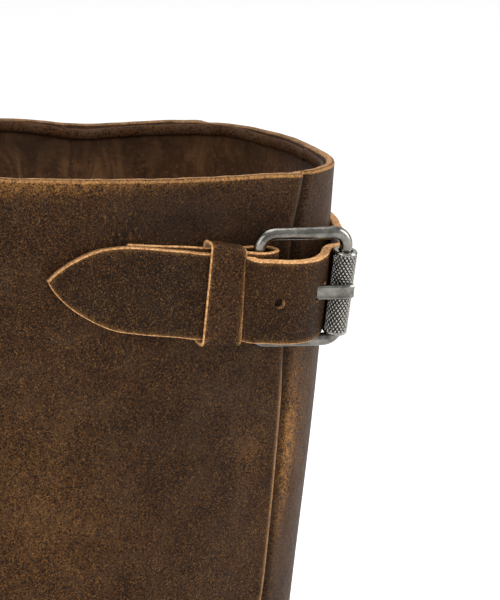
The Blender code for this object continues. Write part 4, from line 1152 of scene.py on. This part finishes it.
class Buckle:
    """A roller buckle's place: bar, roller bar and the directions along, aside and out of its frame."""

    def __init__(self, seat, strap_width, standoff, base, keeper, tilt=0.0, sag=0.0):
        self.seat, self.half, self.base, self.keeper, self.sag = seat, strap_width / 2, base, keeper, sag
        bar_out = base + CHAPE_THICKNESS + GAP + WIRE_RADIUS
        roller_out = base + STRAP_THICKNESS + GAP + ROLLER_RADIUS + standoff
        self.bar = seat.at(0.0, 0.0, bar_out)
        low, high = 0.5 * BAR_SPACING, 1.5 * BAR_SPACING
        for _ in range(40):
            middle = (low + high) / 2
            gap = np.linalg.norm(seat.at(middle, 0.0, roller_out) - self.bar)
            low, high = (middle, high) if gap < BAR_SPACING else (low, middle)
        self.roller_along = low
        self.along = unit(seat.at(low, 0.0, roller_out) - self.bar)
        across = unit(along_line(low / 2, seat.run, seat.across))
        self.aside = unit(across - self.along * np.dot(across, self.along))
        self.out = np.cross(self.aside, self.along)
        if np.dot(self.out, self.bar - seat.at(0.0, 0.0, 0.0)) < 0:
            self.out = -self.out
        self.aside, self.out = unit(self.aside - tilt * self.out), unit(self.out + tilt * self.aside)
        self.half_height = self.half + SIDE_CLEARANCE + WIRE_RADIUS

    def sunk(self, along):
        """How far the strap hangs below the frame's middle, most at the bar."""
        ahead = smoothstep(1 + along / TOP_SAG_REACH)
        behind = 1 - smoothstep((along - 0.3 * BAR_SPACING) / TOP_SAG_BEHIND)
        return self.sag * float(ahead if along < 0 else behind)

    def at(self, along, aside, out):
        """Places in the frame's own directions, from the middle of its bar."""
        along, aside, out = (values[..., None] for values in np.broadcast_arrays(along, aside, out))
        return self.bar + along * self.along + aside * self.aside + out * self.out


def rounded_box(half_along, half_across, corner, arc_points, side_points):
    """Points round a rectangle with round corners, and their outward directions."""
    points, outward = [], []
    for quarter, signs in enumerate(((1, 1), (-1, 1), (-1, -1), (1, -1))):
        middle = np.array(signs) * (half_along - corner, half_across - corner)
        for angle in math.pi / 2 * (quarter + np.linspace(0, 1, arc_points)):
            outward.append(np.array([math.cos(angle), math.sin(angle)]))
            points.append(middle + corner * outward[-1])
        start = points[-1]
        end = start * ((-1, 1) if quarter % 2 == 0 else (1, -1))
        for share in np.linspace(0, 1, side_points[quarter % 2] + 2)[1:-1]:
            points.append(start + (end - start) * share)
            outward.append(outward[-1])
    return np.array(points), np.array(outward)


def build_frame(name, buckle):
    """The frame: one wire bent round a box with round corners."""
    path, outward = rounded_box(BAR_SPACING / 2, buckle.half_height, BUCKLE_CORNER, 11, (6, 6))
    around = full_turn(18)
    radius = WIRE_RADIUS * (1 + 0.02 * np.sin(3 * around))
    flat = path[:, None] + outward[:, None] * (radius * np.cos(around))[:, None]
    points = buckle.at(BAR_SPACING / 2 + flat[..., 0], flat[..., 1], radius * np.sin(around))
    faces = tube_faces(len(path), len(around), closed=True)
    piece(name, points, faces, [METAL], None, name, sharp=60)


def build_roller(name, buckle):
    """A rolled sleeve with a knurl of fine diamonds, plain along its closing side and at its ends."""
    half = buckle.half_height - BUCKLE_CORNER + ROLLER_PAST_CORNER
    bore = WIRE_RADIUS + GAP
    around, levels = full_turn(ROLLER_COLUMNS), np.linspace(-half, half, ROLLER_ROWS)
    turn, level = np.meshgrid(around, levels)
    slope = math.pi * level / KNURL_PITCH
    first, second = (np.abs(np.sin(turn * KNURL_DIAMONDS + way * slope)) for way in (1, -1))
    raised = smoothstep(np.minimum(first, second) / 0.75)
    ends = smoothstep((half - 0.0006 - np.abs(level)) / 0.0005)
    from_closing = np.abs((turn - ROLLER_SEAM_ANGLE + math.pi) % (2 * math.pi) - math.pi)
    shown = ends * smoothstep((from_closing - ROLLER_SEAM_HALF) / 0.1)
    radius = ROLLER_RADIUS - KNURL_DEPTH * (1 - raised) * shown
    radius = radius - ROLLER_END_ROUND * smoothstep((np.abs(level) - half + 0.0004) / 0.0004)
    loops = [(radius[i], levels[i]) for i in range(len(levels))]
    for height, share in ROLLER_CAPS:
        loops.append((bore + (ROLLER_RADIUS - ROLLER_END_ROUND - bore) * share + 0 * around, height * half))
    ways = np.cos(around), np.sin(around)
    grid = np.array([np.stack([r * ways[0], r * ways[1], 0 * r + z], axis=-1) for r, z in loops])
    axis = unit(buckle.aside - ROLLER_LEAN * buckle.along)
    ahead = unit(buckle.along + ROLLER_LEAN * buckle.aside)
    middle = buckle.at(BAR_SPACING - ROLLER_BACK, ROLLER_SLIP, 0.0)
    points = middle + grid @ np.array([ahead, buckle.out, axis])
    worn = np.ones(grid.shape[:2])
    worn[: len(levels)] = (1 - 0.95 * (1 - raised) * shown) * (0.8 + 0.2 * ends)
    faces = tube_faces(*grid.shape[:2], closed=True)
    piece(name, points, faces, [KNURLED_METAL], None, name, {"worn": worn})


def build_prong(name, buckle):
    """A flat wire round the bar, with a groove along it, that lies on the roller."""
    eye = WIRE_RADIUS + GAP + PRONG_THICKNESS / 2
    rest = ROLLER_RADIUS + GAP + PRONG_THICKNESS / 2
    path = [(eye * math.cos(t), eye * math.sin(t)) for t in np.radians(np.linspace(EYE_START, EYE_END, 22))]
    path += [(share * BAR_SPACING, eye + lift * (rest - eye)) for share, lift in PRONG_ARM]
    path.append((BAR_SPACING + PRONG_PAST_ROLLER, rest - PRONG_TIP_DIP))
    rows = refine([buckle.at(a, THREE_ACROSS * PRONG_WIDTH / 2, b) for a, b in path], 0.0009)
    band(name, rows, PRONG_THICKNESS, [METAL] * 3, corner=0.00055, crown=-0.00035, steps=15)


def tip_half_width(distance, half):
    """Half the width of a strap's end, which comes to a point like a pointed arch."""
    share = np.clip(distance / STRAP_POINT, 0.0, 1.0)
    return half * np.maximum(0.02, (1 - (1 - share) ** 1.9) ** 0.78)


def chape_places(buckle, length):
    """Places along the chape from its stitched end to where it rises into the keeper."""
    end = -buckle.keeper - KEEPER_WIDTH / 2 - CHAPE_RISE
    return np.linspace(-length, end, max(4, round((end + length) / CHAPE_STEP)))


def strap_rows(buckle, tip_length, chape_length, standoff):
    """Rows across the long strap, from its tip through the buckle to its stitched end."""
    seat, low = buckle.seat, buckle.base + STRAP_THICKNESS / 2
    on_chape = low + CHAPE_THICKNESS + GAP
    in_keeper = on_chape + KEEPER_THICKNESS + GAP

    def on_seat(along, out):
        half = float(tip_half_width(along + tip_length, buckle.half))
        return seat.at(along, THREE_ACROSS * half + buckle.sunk(along), out)

    past_chape = tip_length > chape_length
    whole = -tip_length + TIP_STEPS[-1] * STRAP_POINT
    tip_out = low if past_chape else on_chape
    rows = [on_seat(-tip_length + share * STRAP_POINT, tip_out) for share in TIP_STEPS]
    if past_chape:
        step_end = -chape_length - CHAPE_END_CLEARANCE
        step_start = step_end - STRAP_STEP
        places = np.arange(whole + STRAP_STEP / 3, step_start - STRAP_STEP / 4, STRAP_STEP / 3)
        rows += [on_seat(along, low) for along in (*places, step_start)]
        rows.append(on_seat(step_end, on_chape))
    rows += [on_seat(along, on_chape) for along in chape_places(buckle, min(chape_length, -whole))[1:]]
    rows += [on_seat(-buckle.keeper + share * KEEPER_WIDTH / 2, in_keeper) for share in KEEPER_ROWS]
    for share, sunk in STRAP_IN_BUCKLE:
        along = share * BAR_SPACING
        rows.append(buckle.at(along, THREE_ACROSS * buckle.half + buckle.sunk(along), strap_out(sunk)))
    start, end = buckle.roller_along, float(seat.run[-1]) - STRAP_END_MARGIN
    for along in np.arange(start + 2 * ROLLER_RADIUS, end, STRAP_STEP):
        settled = float(smoothstep((along - start) / STRAP_SETTLE))
        rows.append(on_seat(along, low + standoff * (1 - settled)))
    rows.append(on_seat(end, low))
    return refine(rows, 0.0013)


def strap_out(sunk):
    """How far the strap's middle is out from the bar, over it at nought and under the roller at one."""
    over_bar = WIRE_RADIUS + GAP + CHAPE_THICKNESS + GAP + STRAP_THICKNESS / 2
    under_roller = -(ROLLER_RADIUS + GAP + STRAP_THICKNESS / 2)
    return over_bar + sunk * (under_roller - over_bar)


def build_strap(name, buckle, tip_length, chape_length, standoff):
    """The long strap, with a slot for the prong and one punched hole."""
    rows = strap_rows(buckle, tip_length, chape_length, standoff)
    # The side edges darken from the tip to past the keeper, with painted shade and grime
    shade_and_grime = 0.85 * (1 - smoothstep((run_length(rows[:, 1]) - SHADE_AND_GRIME_START) / SHADE_AND_GRIME_FADE))
    looks = [STRAP_LEATHER, EDGE, STRAP_BACK]
    strap = band(name, rows, STRAP_THICKNESS, looks, steps=15, shade_and_grime=shade_and_grime)
    arm = (ROLLER_RADIUS + WIRE_RADIUS) / 2 + GAP + PRONG_THICKNESS / 2
    radii = (0.36 * BAR_SPACING, PRONG_WIDTH / 2 + PRONG_CLEARANCE)
    slot = rod("slot", buckle.at(0.62 * BAR_SPACING, 0, arm), buckle, radii, SLOT_DEPTH, EDGE)
    face = strap_out(STRAP_IN_BUCKLE[2][1]) + STRAP_THICKNESS / 2
    middle = buckle.at(HOLE_ALONG, buckle.sunk(HOLE_ALONG), face)
    # The hole's floor takes the painted shadow look
    hole = rod("hole", middle, buckle, (HOLE_RADIUS, HOLE_RADIUS), 2 * HOLE_DEPTH, HOLE_EDGE, HOLE_SHADOW)
    carve(strap, [slot, hole])


def build_chape(name, buckle, length):
    """The short strap that is stitched to the upper and folded round the buckle's bar."""
    low = buckle.base + CHAPE_THICKNESS / 2
    fold = WIRE_RADIUS + GAP + CHAPE_THICKNESS / 2
    widths = THREE_ACROSS * (buckle.half - GAP)
    rows = [buckle.seat.at(along, widths, low) for along in chape_places(buckle, length)]
    for along in -buckle.keeper + np.array([-1.1, 0.0, 1.1]) * KEEPER_WIDTH / 2:
        rows.append(buckle.seat.at(along, widths, low + KEEPER_THICKNESS + GAP))
    for angle in np.radians(np.linspace(-FOLD_TURN, FOLD_TURN, 13)):
        along = fold * math.cos(angle)
        along *= FOLD_SLACK if along > 0 else 1
        rows.append(buckle.at(along, widths + CHAPE_SHIFT, fold * math.sin(angle)))
    for share, sunk in ((1.0, CHAPE_LAP_SINK), (2.0, CHAPE_LAP_END)):
        rows.append(buckle.at(-share * CHAPE_LAP, widths + CHAPE_SHIFT, fold - sunk))
    looks = [STRAP_LEATHER, EDGE, KEEPER_LEATHER]
    chape = band(name, refine(rows, 0.0011), CHAPE_THICKNESS, looks)
    radii = (CHAPE_SLOT_HALF_LENGTH, PRONG_WIDTH / 2 + 2 * PRONG_CLEARANCE)
    carve(chape, [rod("slot", buckle.at(CHAPE_SLOT_MIDDLE, 0, 0), buckle, radii, CHAPE_SLOT_DEPTH, EDGE)])


def build_keeper(name, buckle):
    """A closed loop of leather round the chape and the strap's end, a little slack and askew."""
    low = buckle.base + KEEPER_THICKNESS / 2
    high = low + KEEPER_THICKNESS + CHAPE_THICKNESS + STRAP_THICKNESS + 3 * GAP
    side = buckle.half + 2 * GAP + KEEPER_THICKNESS / 2
    path, _ = rounded_box(side, (high - low) / 2, KEEPER_CORNER, 6, (12, 0))
    places = -buckle.keeper + THREE_ACROSS * KEEPER_WIDTH / 2
    rows = []
    for across, out in path:
        if abs(across) > side - KEEPER_CORNER - 1e-9:
            across += KEEPER_SLACK if across > 0 else -KEEPER_SLACK / 3
        slant = THREE_ACROSS * KEEPER_SKEW * smoothstep(-across / buckle.half)
        middle = across + buckle.sunk(-buckle.keeper) / 2
        rows.append(buckle.seat.at(places, middle + slant, (high + low) / 2 + out))
    looks = [KEEPER_LEATHER, EDGE, STRAP_BACK]
    band(name, rows, KEEPER_THICKNESS, looks, True, corner=0.00025, frays=(0.15, 0.9))


def buckled_strap(prefix, buckle, standoff, tip_length, chape_length):
    """All the pieces of one strap and its buckle."""
    build_strap(f"{prefix}_strap", buckle, tip_length, chape_length, standoff)
    build_chape(f"{prefix}_strap_chape", buckle, chape_length)
    build_keeper(f"{prefix}_strap_keeper", buckle)
    build_frame(f"{prefix}_buckle_frame", buckle)
    build_roller(f"{prefix}_buckle_roller", buckle)
    build_prong(f"{prefix}_buckle_prong", buckle)


def row_below_collar(turn, drop):
    """The row that lies a drop below the collar's top at a turn."""
    rows = np.linspace(TOP_ROW, ANKLE_ROW, 80)
    return float(np.interp(drop, run_length(surface(rows, turn)), rows))


def top_seat():
    """The top strap's line round the shaft, with its bar near the back of the outer side."""
    table = np.array(TOP_STRAP_LINE)
    turns, drops = np.array([smooth_table(table, at) for at in np.linspace(0, len(table) - 1, 180)]).T
    rows = [row_below_collar(turn, drop * TOP_STRAP_DROP) for turn, drop in zip(turns, drops)]
    bar_x = HEEL_BACK_X - SHAFT_RINGS[-1][2] * LAST_LENGTH + TOP_BAR_BEHIND
    on_outer_side = turns > -1
    line_x = surface(rows, turns)[on_outer_side, 0]
    return Seat(rows, turns, float(np.interp(bar_x, line_x, turns[on_outer_side])))


def instep_seat():
    """The instep strap's line, from the sole on one side over the instep to the other."""
    share = np.linspace(-1, 1, 161)
    rise = (INSTEP_STRAP_TOP_ROW - INSTEP_STRAP_END_ROW) * (1 - np.abs(share) ** INSTEP_STRAP_ROUND)
    return Seat(INSTEP_STRAP_END_ROW + rise, share * INSTEP_STRAP_END_TURN, INSTEP_BAR_TURN)


def build_straps():
    top = Buckle(top_seat(), TOP_STRAP_WIDTH, TOP_STANDOFF, GAP, TOP_KEEPER_PLACE, TOP_TILT, TOP_SAG)
    buckled_strap("top", top, TOP_STANDOFF, TOP_TIP_LENGTH, TOP_CHAPE_LENGTH)
    over = instep_seat()
    base = GAP + OVERLAY_THICKNESS + STRAP_CLEARANCE
    instep = Buckle(over, INSTEP_STRAP_WIDTH, INSTEP_STANDOFF, base, INSTEP_KEEPER_PLACE)
    chape_length = -float(over.run[0]) - STRAP_END_MARGIN / 2
    buckled_strap("instep", instep, INSTEP_STANDOFF, INSTEP_TIP_LENGTH, chape_length)


# Vamp, counter and sole


def smooth_edge(table):
    """An edge line seen from the side, as x and z, through the points of a table."""
    rows = np.array(table)
    line = np.array([smooth_table(rows, at) for at in np.linspace(0, len(rows) - 1, 60)])
    return np.stack([HEEL_BACK_X - line[:, 0] * LAST_LENGTH, line[:, 1] * INSTEP_HEIGHT], axis=-1)


def edge_turn(row, side, edge):
    """The turn, from the front, at which a row of the upper crosses an edge line seen from the side."""
    turns = np.linspace(0, 1, 500)
    points = surface(row, side * turns)
    ahead = points[:, 0] - np.interp(points[:, 2], edge[:, 1], edge[:, 0])
    behind = np.nonzero(ahead > 0)[0]
    if len(behind) == 0:
        return 1.0
    k = behind[0]
    if k == 0:
        return 0.0
    return float(turns[k - 1] + turns[1] * ahead[k - 1] / (ahead[k - 1] - ahead[k]))


class Overlay:
    """A panel over the upper, wide below and narrowing to a round top in the middle."""

    def __init__(self, edge_table, at_back):
        edge, self.at_back = smooth_edge(edge_table), at_back
        self.rows, self.spans = np.linspace(0.2, 10, 400), []
        for side in (-1, 1):
            spans = np.array([edge_turn(row, side, edge) for row in self.rows])
            self.spans.append(1 - spans if at_back else spans)
        closed = np.nonzero(np.minimum(*self.spans) <= 0.002)[0]
        self.top = float(self.rows[closed[0]]) if len(closed) else 9.9
        for spans in self.spans:
            spans[self.rows >= self.top] = 0.0

    def where(self, u, v):
        """Row and turn at a share across, -1 to 1, and a share up, 0 to 1."""
        u, v = np.broadcast_arrays(np.asarray(u, float), np.asarray(v, float))
        low, start = 0.75, WELT_THICKNESS + 2 * GAP
        first, second = (np.interp(low + (self.top - low) * v, self.rows, spans) for spans in self.spans)
        if self.at_back:
            turn = 1 - u * np.where(u < 0, second, first)
        else:
            turn = u * np.where(u < 0, first, second)
        base = np.array([row_above_sole(t, start) for t in turn.ravel()]).reshape(turn.shape)
        return base + (self.top - base) * v, turn

    def rim(self, count=420):
        """Rows and turns of the free edge, up one side and down the other."""
        rise = 1 - (1 - np.linspace(0, 1, count // 2)) ** 2
        up, down = self.where(-1.0, rise), self.where(1.0, rise[::-1])
        return [np.concatenate([first, second[1:]]) for first, second in zip(up, down)]


def build_overlay(name, overlay):
    """The panel, with a rounded raw edge; its hidden side is left open against the upper."""
    rise = 1 - (1 - np.linspace(0, 1, 84)) ** 1.5
    v = np.concatenate([[0.0], rise, [1.0]])[:, None]
    across = np.linspace(-1, 1, 170) * (1 - OVERLAY_EDGE_INSET / 0.09)
    u = np.concatenate([[-1.0, -1.0], across, [1.0, 1.0]])
    out = np.full((len(v), len(u)), GAP + OVERLAY_THICKNESS)
    out[:, [1, -2]] -= OVERLAY_EDGE_INSET
    out[[0, -1]] = 0.0
    out[:, [0, -1]] = 0.0
    rows, turns = overlay.where(u, v)
    creases = crease_depth(rows, turns)
    out += (creases + 0.5 * seam_relief(seam_distance(turns))) * (out > OVERLAY_EDGE_INSET)
    points = surface(rows, turns, out)
    faces = np.array(sheet_faces(len(v), len(u), turned=not overlay.at_back))
    kinds = np.zeros((len(v) - 1, len(u) - 1), int)
    kinds[:, [0, -1]] = 1
    kinds[-1] = 1
    corners = points.reshape(-1, 3)[faces]
    diagonals = corners[:, 2] - corners[:, 0], corners[:, 3] - corners[:, 1]
    whole = np.linalg.norm(np.cross(*diagonals), axis=1) > 1e-12
    from_side = (1 - np.abs(u)) * 0.08
    worn = 0.5 * bell(from_side / 0.0012) * (0.4 + 0.6 * rng.random(out.shape))
    toe = bell((rows - 1.3) / 1.2) * bell(turns / 0.25) * (not overlay.at_back)
    paint = {"worn": np.maximum(worn, 0.35 * toe), "dark": crease_shade(creases)}
    looks = [LEATHER, DARK_EDGE]
    piece(name, points, faces[whole], looks, kinds.ravel()[whole], name, paint)


def sew_overlay(name, overlay):
    """Two rows of stitches inside the panel's free edge."""
    rows, turns = overlay.rim()
    line = surface(rows, turns)
    keep = np.concatenate([[True], np.linalg.norm(np.diff(line, axis=0), axis=1) > 1e-5])
    rows, turns, line = rows[keep], turns[keep], line[keep]
    by_row, by_turn = surface_steps(rows, turns)
    normal = unit(np.cross(by_row, by_turn))
    inward = np.cross(unit(np.gradient(line, axis=0)), normal)
    if np.sum(inward * (surface(*overlay.where(0.0, 0.5)) - line)) < 0:
        inward = -inward
    row_step, turn_step = steps_for(by_row, by_turn, inward)
    for index, far in enumerate(STITCH_ROWS):
        at_row, at_turn = rows + far * row_step, turns + far * turn_step
        lifted = GAP + OVERLAY_THICKNESS + crease_depth(at_row, at_turn) + 0.00005
        stitches(f"{name}_stitches_{index + 1}", surface(at_row, at_turn, lifted), normal)


def build_overlays():
    for name, edge, at_back in (("vamp", VAMP_EDGE, False), ("heel_counter", COUNTER_EDGE, True)):
        overlay = Overlay(edge, at_back)
        build_overlay(name, overlay)
        sew_overlay(name, overlay)


def reach_at(along):
    """How far the sole stands out from the upper, at a share of the last's length."""
    behind = smoothstep((along - WAIST_START) / (WAIST_END - WAIST_START))
    return WELT_REACH + (HEEL_REACH - WELT_REACH) * behind


def sole_edge(turn, reach):
    """Points of the upper's bottom edge, moved outward level by a reach, and at the feather height."""
    points = surface(0, turn, reach)
    points[..., 2] = feather_z(along_at(points[..., 0]))
    return points


SOLE_REACH = reach_at(along_at(surface(0, LOOP_TURNS)[:, 0]))


def ring_of(reach, height):
    """A loop round the sole at a reach and a height above the feather line."""
    return sole_edge(LOOP_TURNS, reach) + (0, 0, height)


def plate_ends(count, last, turned):
    """Faces between opposite points of a loop that close a plate's end."""
    half = count // 2
    faces = []
    for j in range(1, half):
        a, b, d = last + j, last + j + 1, last + (count - j) % count
        corners = (a, b, d) if j + 1 == half else (a, b, last + (count - j - 1) % count, d)
        faces.append(corners)
    faces.append((last, last + 1, last + count - 1))
    return [face[::-1] if turned else face for face in faces]


def layered(name, profile, reach, looks):
    """A plate with its side drawn by (inset, height, dark), closed below in its last look and above."""
    count = len(LOOP_TURNS)
    loops = [ring_of(reach - inset, height) for inset, height, _ in profile]
    below = plate_ends(count, 0, False)
    above = plate_ends(count, (len(loops) - 1) * count, True)
    faces = tube_faces(len(loops), count, turned=True)
    kinds = [0] * len(faces) + [len(looks) - 1] * len(below) + [0] * len(above)
    paint = {"dark": np.repeat([dark for _, _, dark in profile], count)}
    piece(name, np.concatenate(loops), faces + below + above, looks, kinds, name, paint, sharp=40)


def build_sole():
    """The outsole with a line where its two layers meet, and the insole."""
    low, high = -GAP - OUTSOLE_THICKNESS, -GAP
    profile = [
        (0.0010, low, 0.0),
        (0.0003, low + 0.0004, 0.1),
        (0.0, low + 0.0012, 0.0),
        (0.0, low + 0.0042, 0.1),
        (0.00035, low + 0.0046, 0.9),
        (0.0, low + 0.0050, 0.1),
        (0.0, high - 0.0008, 0.0),
        (0.0003, high - 0.0002, 0.2),
        (0.0008, high, 0.6),
    ]
    layered("outsole", profile, SOLE_REACH, [SOLE, TREAD])
    profile = [(0.0, 0.0, 0.0), (0.0, INSOLE_THICKNESS - 0.0006, 0.0), (0.0006, INSOLE_THICKNESS, 0.0)]
    layered("insole", profile, -(WALL + INSOLE_CLEARANCE), [INSOLE])


def build_welt():
    """The welt on the outsole, with its row of stitches in a groove."""
    count = len(LOOP_TURNS)
    profile = (
        (0.0004, 0.0),
        (0.0, 0.0005),
        (0.0, WELT_THICKNESS - 0.0008),
        (0.0004, WELT_THICKNESS - 0.0002),
        (0.0010, WELT_THICKNESS),
    )
    loops = [ring_of(SOLE_REACH - WELT_INSET - inset, height) for inset, height in profile]
    rows = np.array([row_above_sole(turn, WELT_THICKNESS) for turn in LOOP_TURNS])
    top = surface(rows, LOOP_TURNS, WELT_CLEARANCE - 0.0003)
    top[:, 2] = feather_z(along_at(top[:, 0])) + WELT_THICKNESS
    seam = top + WELT_SEAM_SHARE * (loops[-1] - top)
    for offset, depth in ((WELT_SEAM_HALF, 0.0), (0.0, WELT_SEAM_DEPTH), (-WELT_SEAM_HALF, 0.0)):
        ring = seam + unit(loops[-1] - top) * offset
        ring[:, 2] = feather_z(along_at(ring[:, 0])) + WELT_THICKNESS - depth
        loops.append(ring)
    line = loops[-2] + (0, 0, 0.0003)
    loops += [top, ring_of(WELT_CLEARANCE, 0.0)]
    faces = tube_faces(len(loops), count, closed=True, turned=True)
    paint = {"dark": np.repeat([0.3, 0.0, 0.0, 0.0, 0.0, 0.1, 0.8, 0.1, 0.5, 0.5], count)}
    piece("welt", np.concatenate(loops), faces, [SOLE], None, "welt", paint)
    up = np.tile([0.0, 0.0, 1.0], (count + 1, 1))
    stitches("welt_stitches", np.concatenate([line, line[:1]]), up, WELT_STITCH, WELT_STITCH_GAP)


def heel_outline(z, inset=0.0):
    """The heel's outline at a height: round the back, tapering down, with a hollow breast."""
    reach = HEEL_REACH - HEEL_TAPER * (1 - z / HEEL_HEIGHT) - inset
    turns = np.linspace(0.3, 1, 500)
    sides = []
    for side in (-1, 1):
        start = np.interp(HEEL_BREAST_X + inset, sole_edge(side * turns, reach)[:, 0], turns)
        sides.append(sole_edge(side * (start + (1 - start) * np.linspace(0, 1, 70)), reach))
    outer, inner = sides
    share = np.linspace(0, 1, 26)[1:-1, None]
    breast = inner[0] + (outer[0] - inner[0]) * share
    breast[:, 0] += BREAST_HOLLOW * np.sin(math.pi * share[:, 0])
    ring = np.concatenate([outer, inner[-2::-1], breast])
    ring[:, 2] = z
    return ring


def stacked(name, levels, look):
    """A closed stack of outlines, as (height, inset, dark)."""
    loops = [heel_outline(z, inset) for z, inset, _ in levels]
    count = len(loops[0])
    faces = tube_faces(len(loops), count) + loop_ends(count, (len(loops) - 1) * count)
    paint = {"dark": np.repeat([dark for _, _, dark in levels], count)}
    piece(name, np.concatenate(loops), faces, [look], None, name, paint, sharp=35)


def build_heel():
    """A heel of leather layers with a line between each two, and its rubber top lift."""
    low, layers = TOP_LIFT_THICKNESS + GAP, 4
    heights = [low + (HEEL_HEIGHT - low) * k / layers for k in range(layers + 1)]
    levels = [(low, 0.0004, 0.5)]
    for start, end in zip(heights, heights[1:]):
        levels += [(start + 0.0004, 0.0, 0.1), (end - 0.0004, 0.0, 0.1), (end, 0.00035, 0.95)]
    levels[-1] = (HEEL_HEIGHT, 0.0003, 0.5)
    stacked("heel_stack", levels, HEEL)
    top = TOP_LIFT_THICKNESS
    outline = ((0.0, 0.0009), (0.0006, 0.0002), (0.0012, 0.0), (top - 0.0006, 0.0), (top, 0.0004))
    stacked("top_lift", [(z, inset, 0.0) for z, inset in outline], RUBBER)


build_straps()
build_overlays()
build_sole()
build_welt()
build_heel()


# Camera, light and floor

VIEW_TURN, VIEW_RISE, VIEW_DISTANCE = math.radians(-20), math.radians(13), 1.10
PIXELS_A_METRE = 3577
FRAME_WIDTH, FRAME_HEIGHT = 500, 600
RIM_CENTRE = Vector((-0.0260, 0.0, 0.312))
RIM_PIXEL = (68.5, 147.9)
SENSOR_WIDTH = 36
LIGHT_AIM = Vector((-0.02, 0, 0.2))
SOFTBOXES = (
    # name, place, size, power
    ("left_softbox", (-1.6, -1.1, 1.0), (1.2, 1.6), 26),
    ("right_softbox", (1.7, -0.7, 0.9), (1.0, 1.6), 30),
    ("top_softbox", (0.0, 0.1, 2.2), (1.6, 1.6), 24),
)
FLOOR_HALF = 14.0
FLOOR_SHADE, WORLD_STRENGTH = 0.93, 0.85


def aim_back(made, place, back):
    """Puts a camera or lamp at a place, with its back in a direction."""
    made.location = place
    made.rotation_mode = "QUATERNION"
    made.rotation_quaternion = back.to_track_quat("Z", "Y")


def place_camera():
    """A camera that shows the collar's middle at the pixel where the photo has it."""
    sin_turn, cos_turn = math.sin(VIEW_TURN), math.cos(VIEW_TURN)
    back = Vector((sin_turn * math.cos(VIEW_RISE), -cos_turn * math.cos(VIEW_RISE), math.sin(VIEW_RISE)))
    right = Vector((cos_turn, sin_turn, 0))
    up = back.cross(right)
    aside = (FRAME_WIDTH / 2 - RIM_PIXEL[0]) / PIXELS_A_METRE
    below = (FRAME_HEIGHT / 2 - RIM_PIXEL[1]) / PIXELS_A_METRE
    data = bpy.data.cameras.new("camera")
    data.sensor_width = SENSOR_WIDTH
    data.lens = PIXELS_A_METRE * VIEW_DISTANCE * SENSOR_WIDTH / FRAME_HEIGHT
    data.clip_start, data.clip_end = 0.05, 40
    camera = add_object("camera", data)
    aim_back(camera, RIM_CENTRE + right * aside - up * below + back * VIEW_DISTANCE, back)
    bpy.context.scene.camera = camera


def build_stage():
    """A pale floor, an even pale room and three soft lights."""
    look = Look("pale_floor", Roughness=0.9, Specular_IOR_Level=0.1)
    look.put("Base Color", (FLOOR_SHADE, FLOOR_SHADE, FLOOR_SHADE, 1))
    corners = [(x * FLOOR_HALF, y * FLOOR_HALF, 0) for x, y in ((-1, -1), (1, -1), (1, 1), (-1, 1))]
    floor = add_object("floor", make_mesh("floor", corners, [(0, 1, 2, 3)], [look.material]))
    world = bpy.data.worlds.new("studio")
    world.use_nodes = True
    background = world.node_tree.nodes["Background"]
    background.inputs["Color"].default_value = (1, 1, 1, 1)
    background.inputs["Strength"].default_value = WORLD_STRENGTH
    bpy.context.scene.world = world
    bpy.context.scene.view_settings.view_transform = "Standard"
    for name, place, size, power in SOFTBOXES:
        data = bpy.data.lights.new(name, "AREA")
        data.shape = "RECTANGLE"
        data.size, data.size_y = size
        data.energy = power
        aim_back(add_object(name, data), place, Vector(place) - LIGHT_AIM)


place_camera()
build_stage()
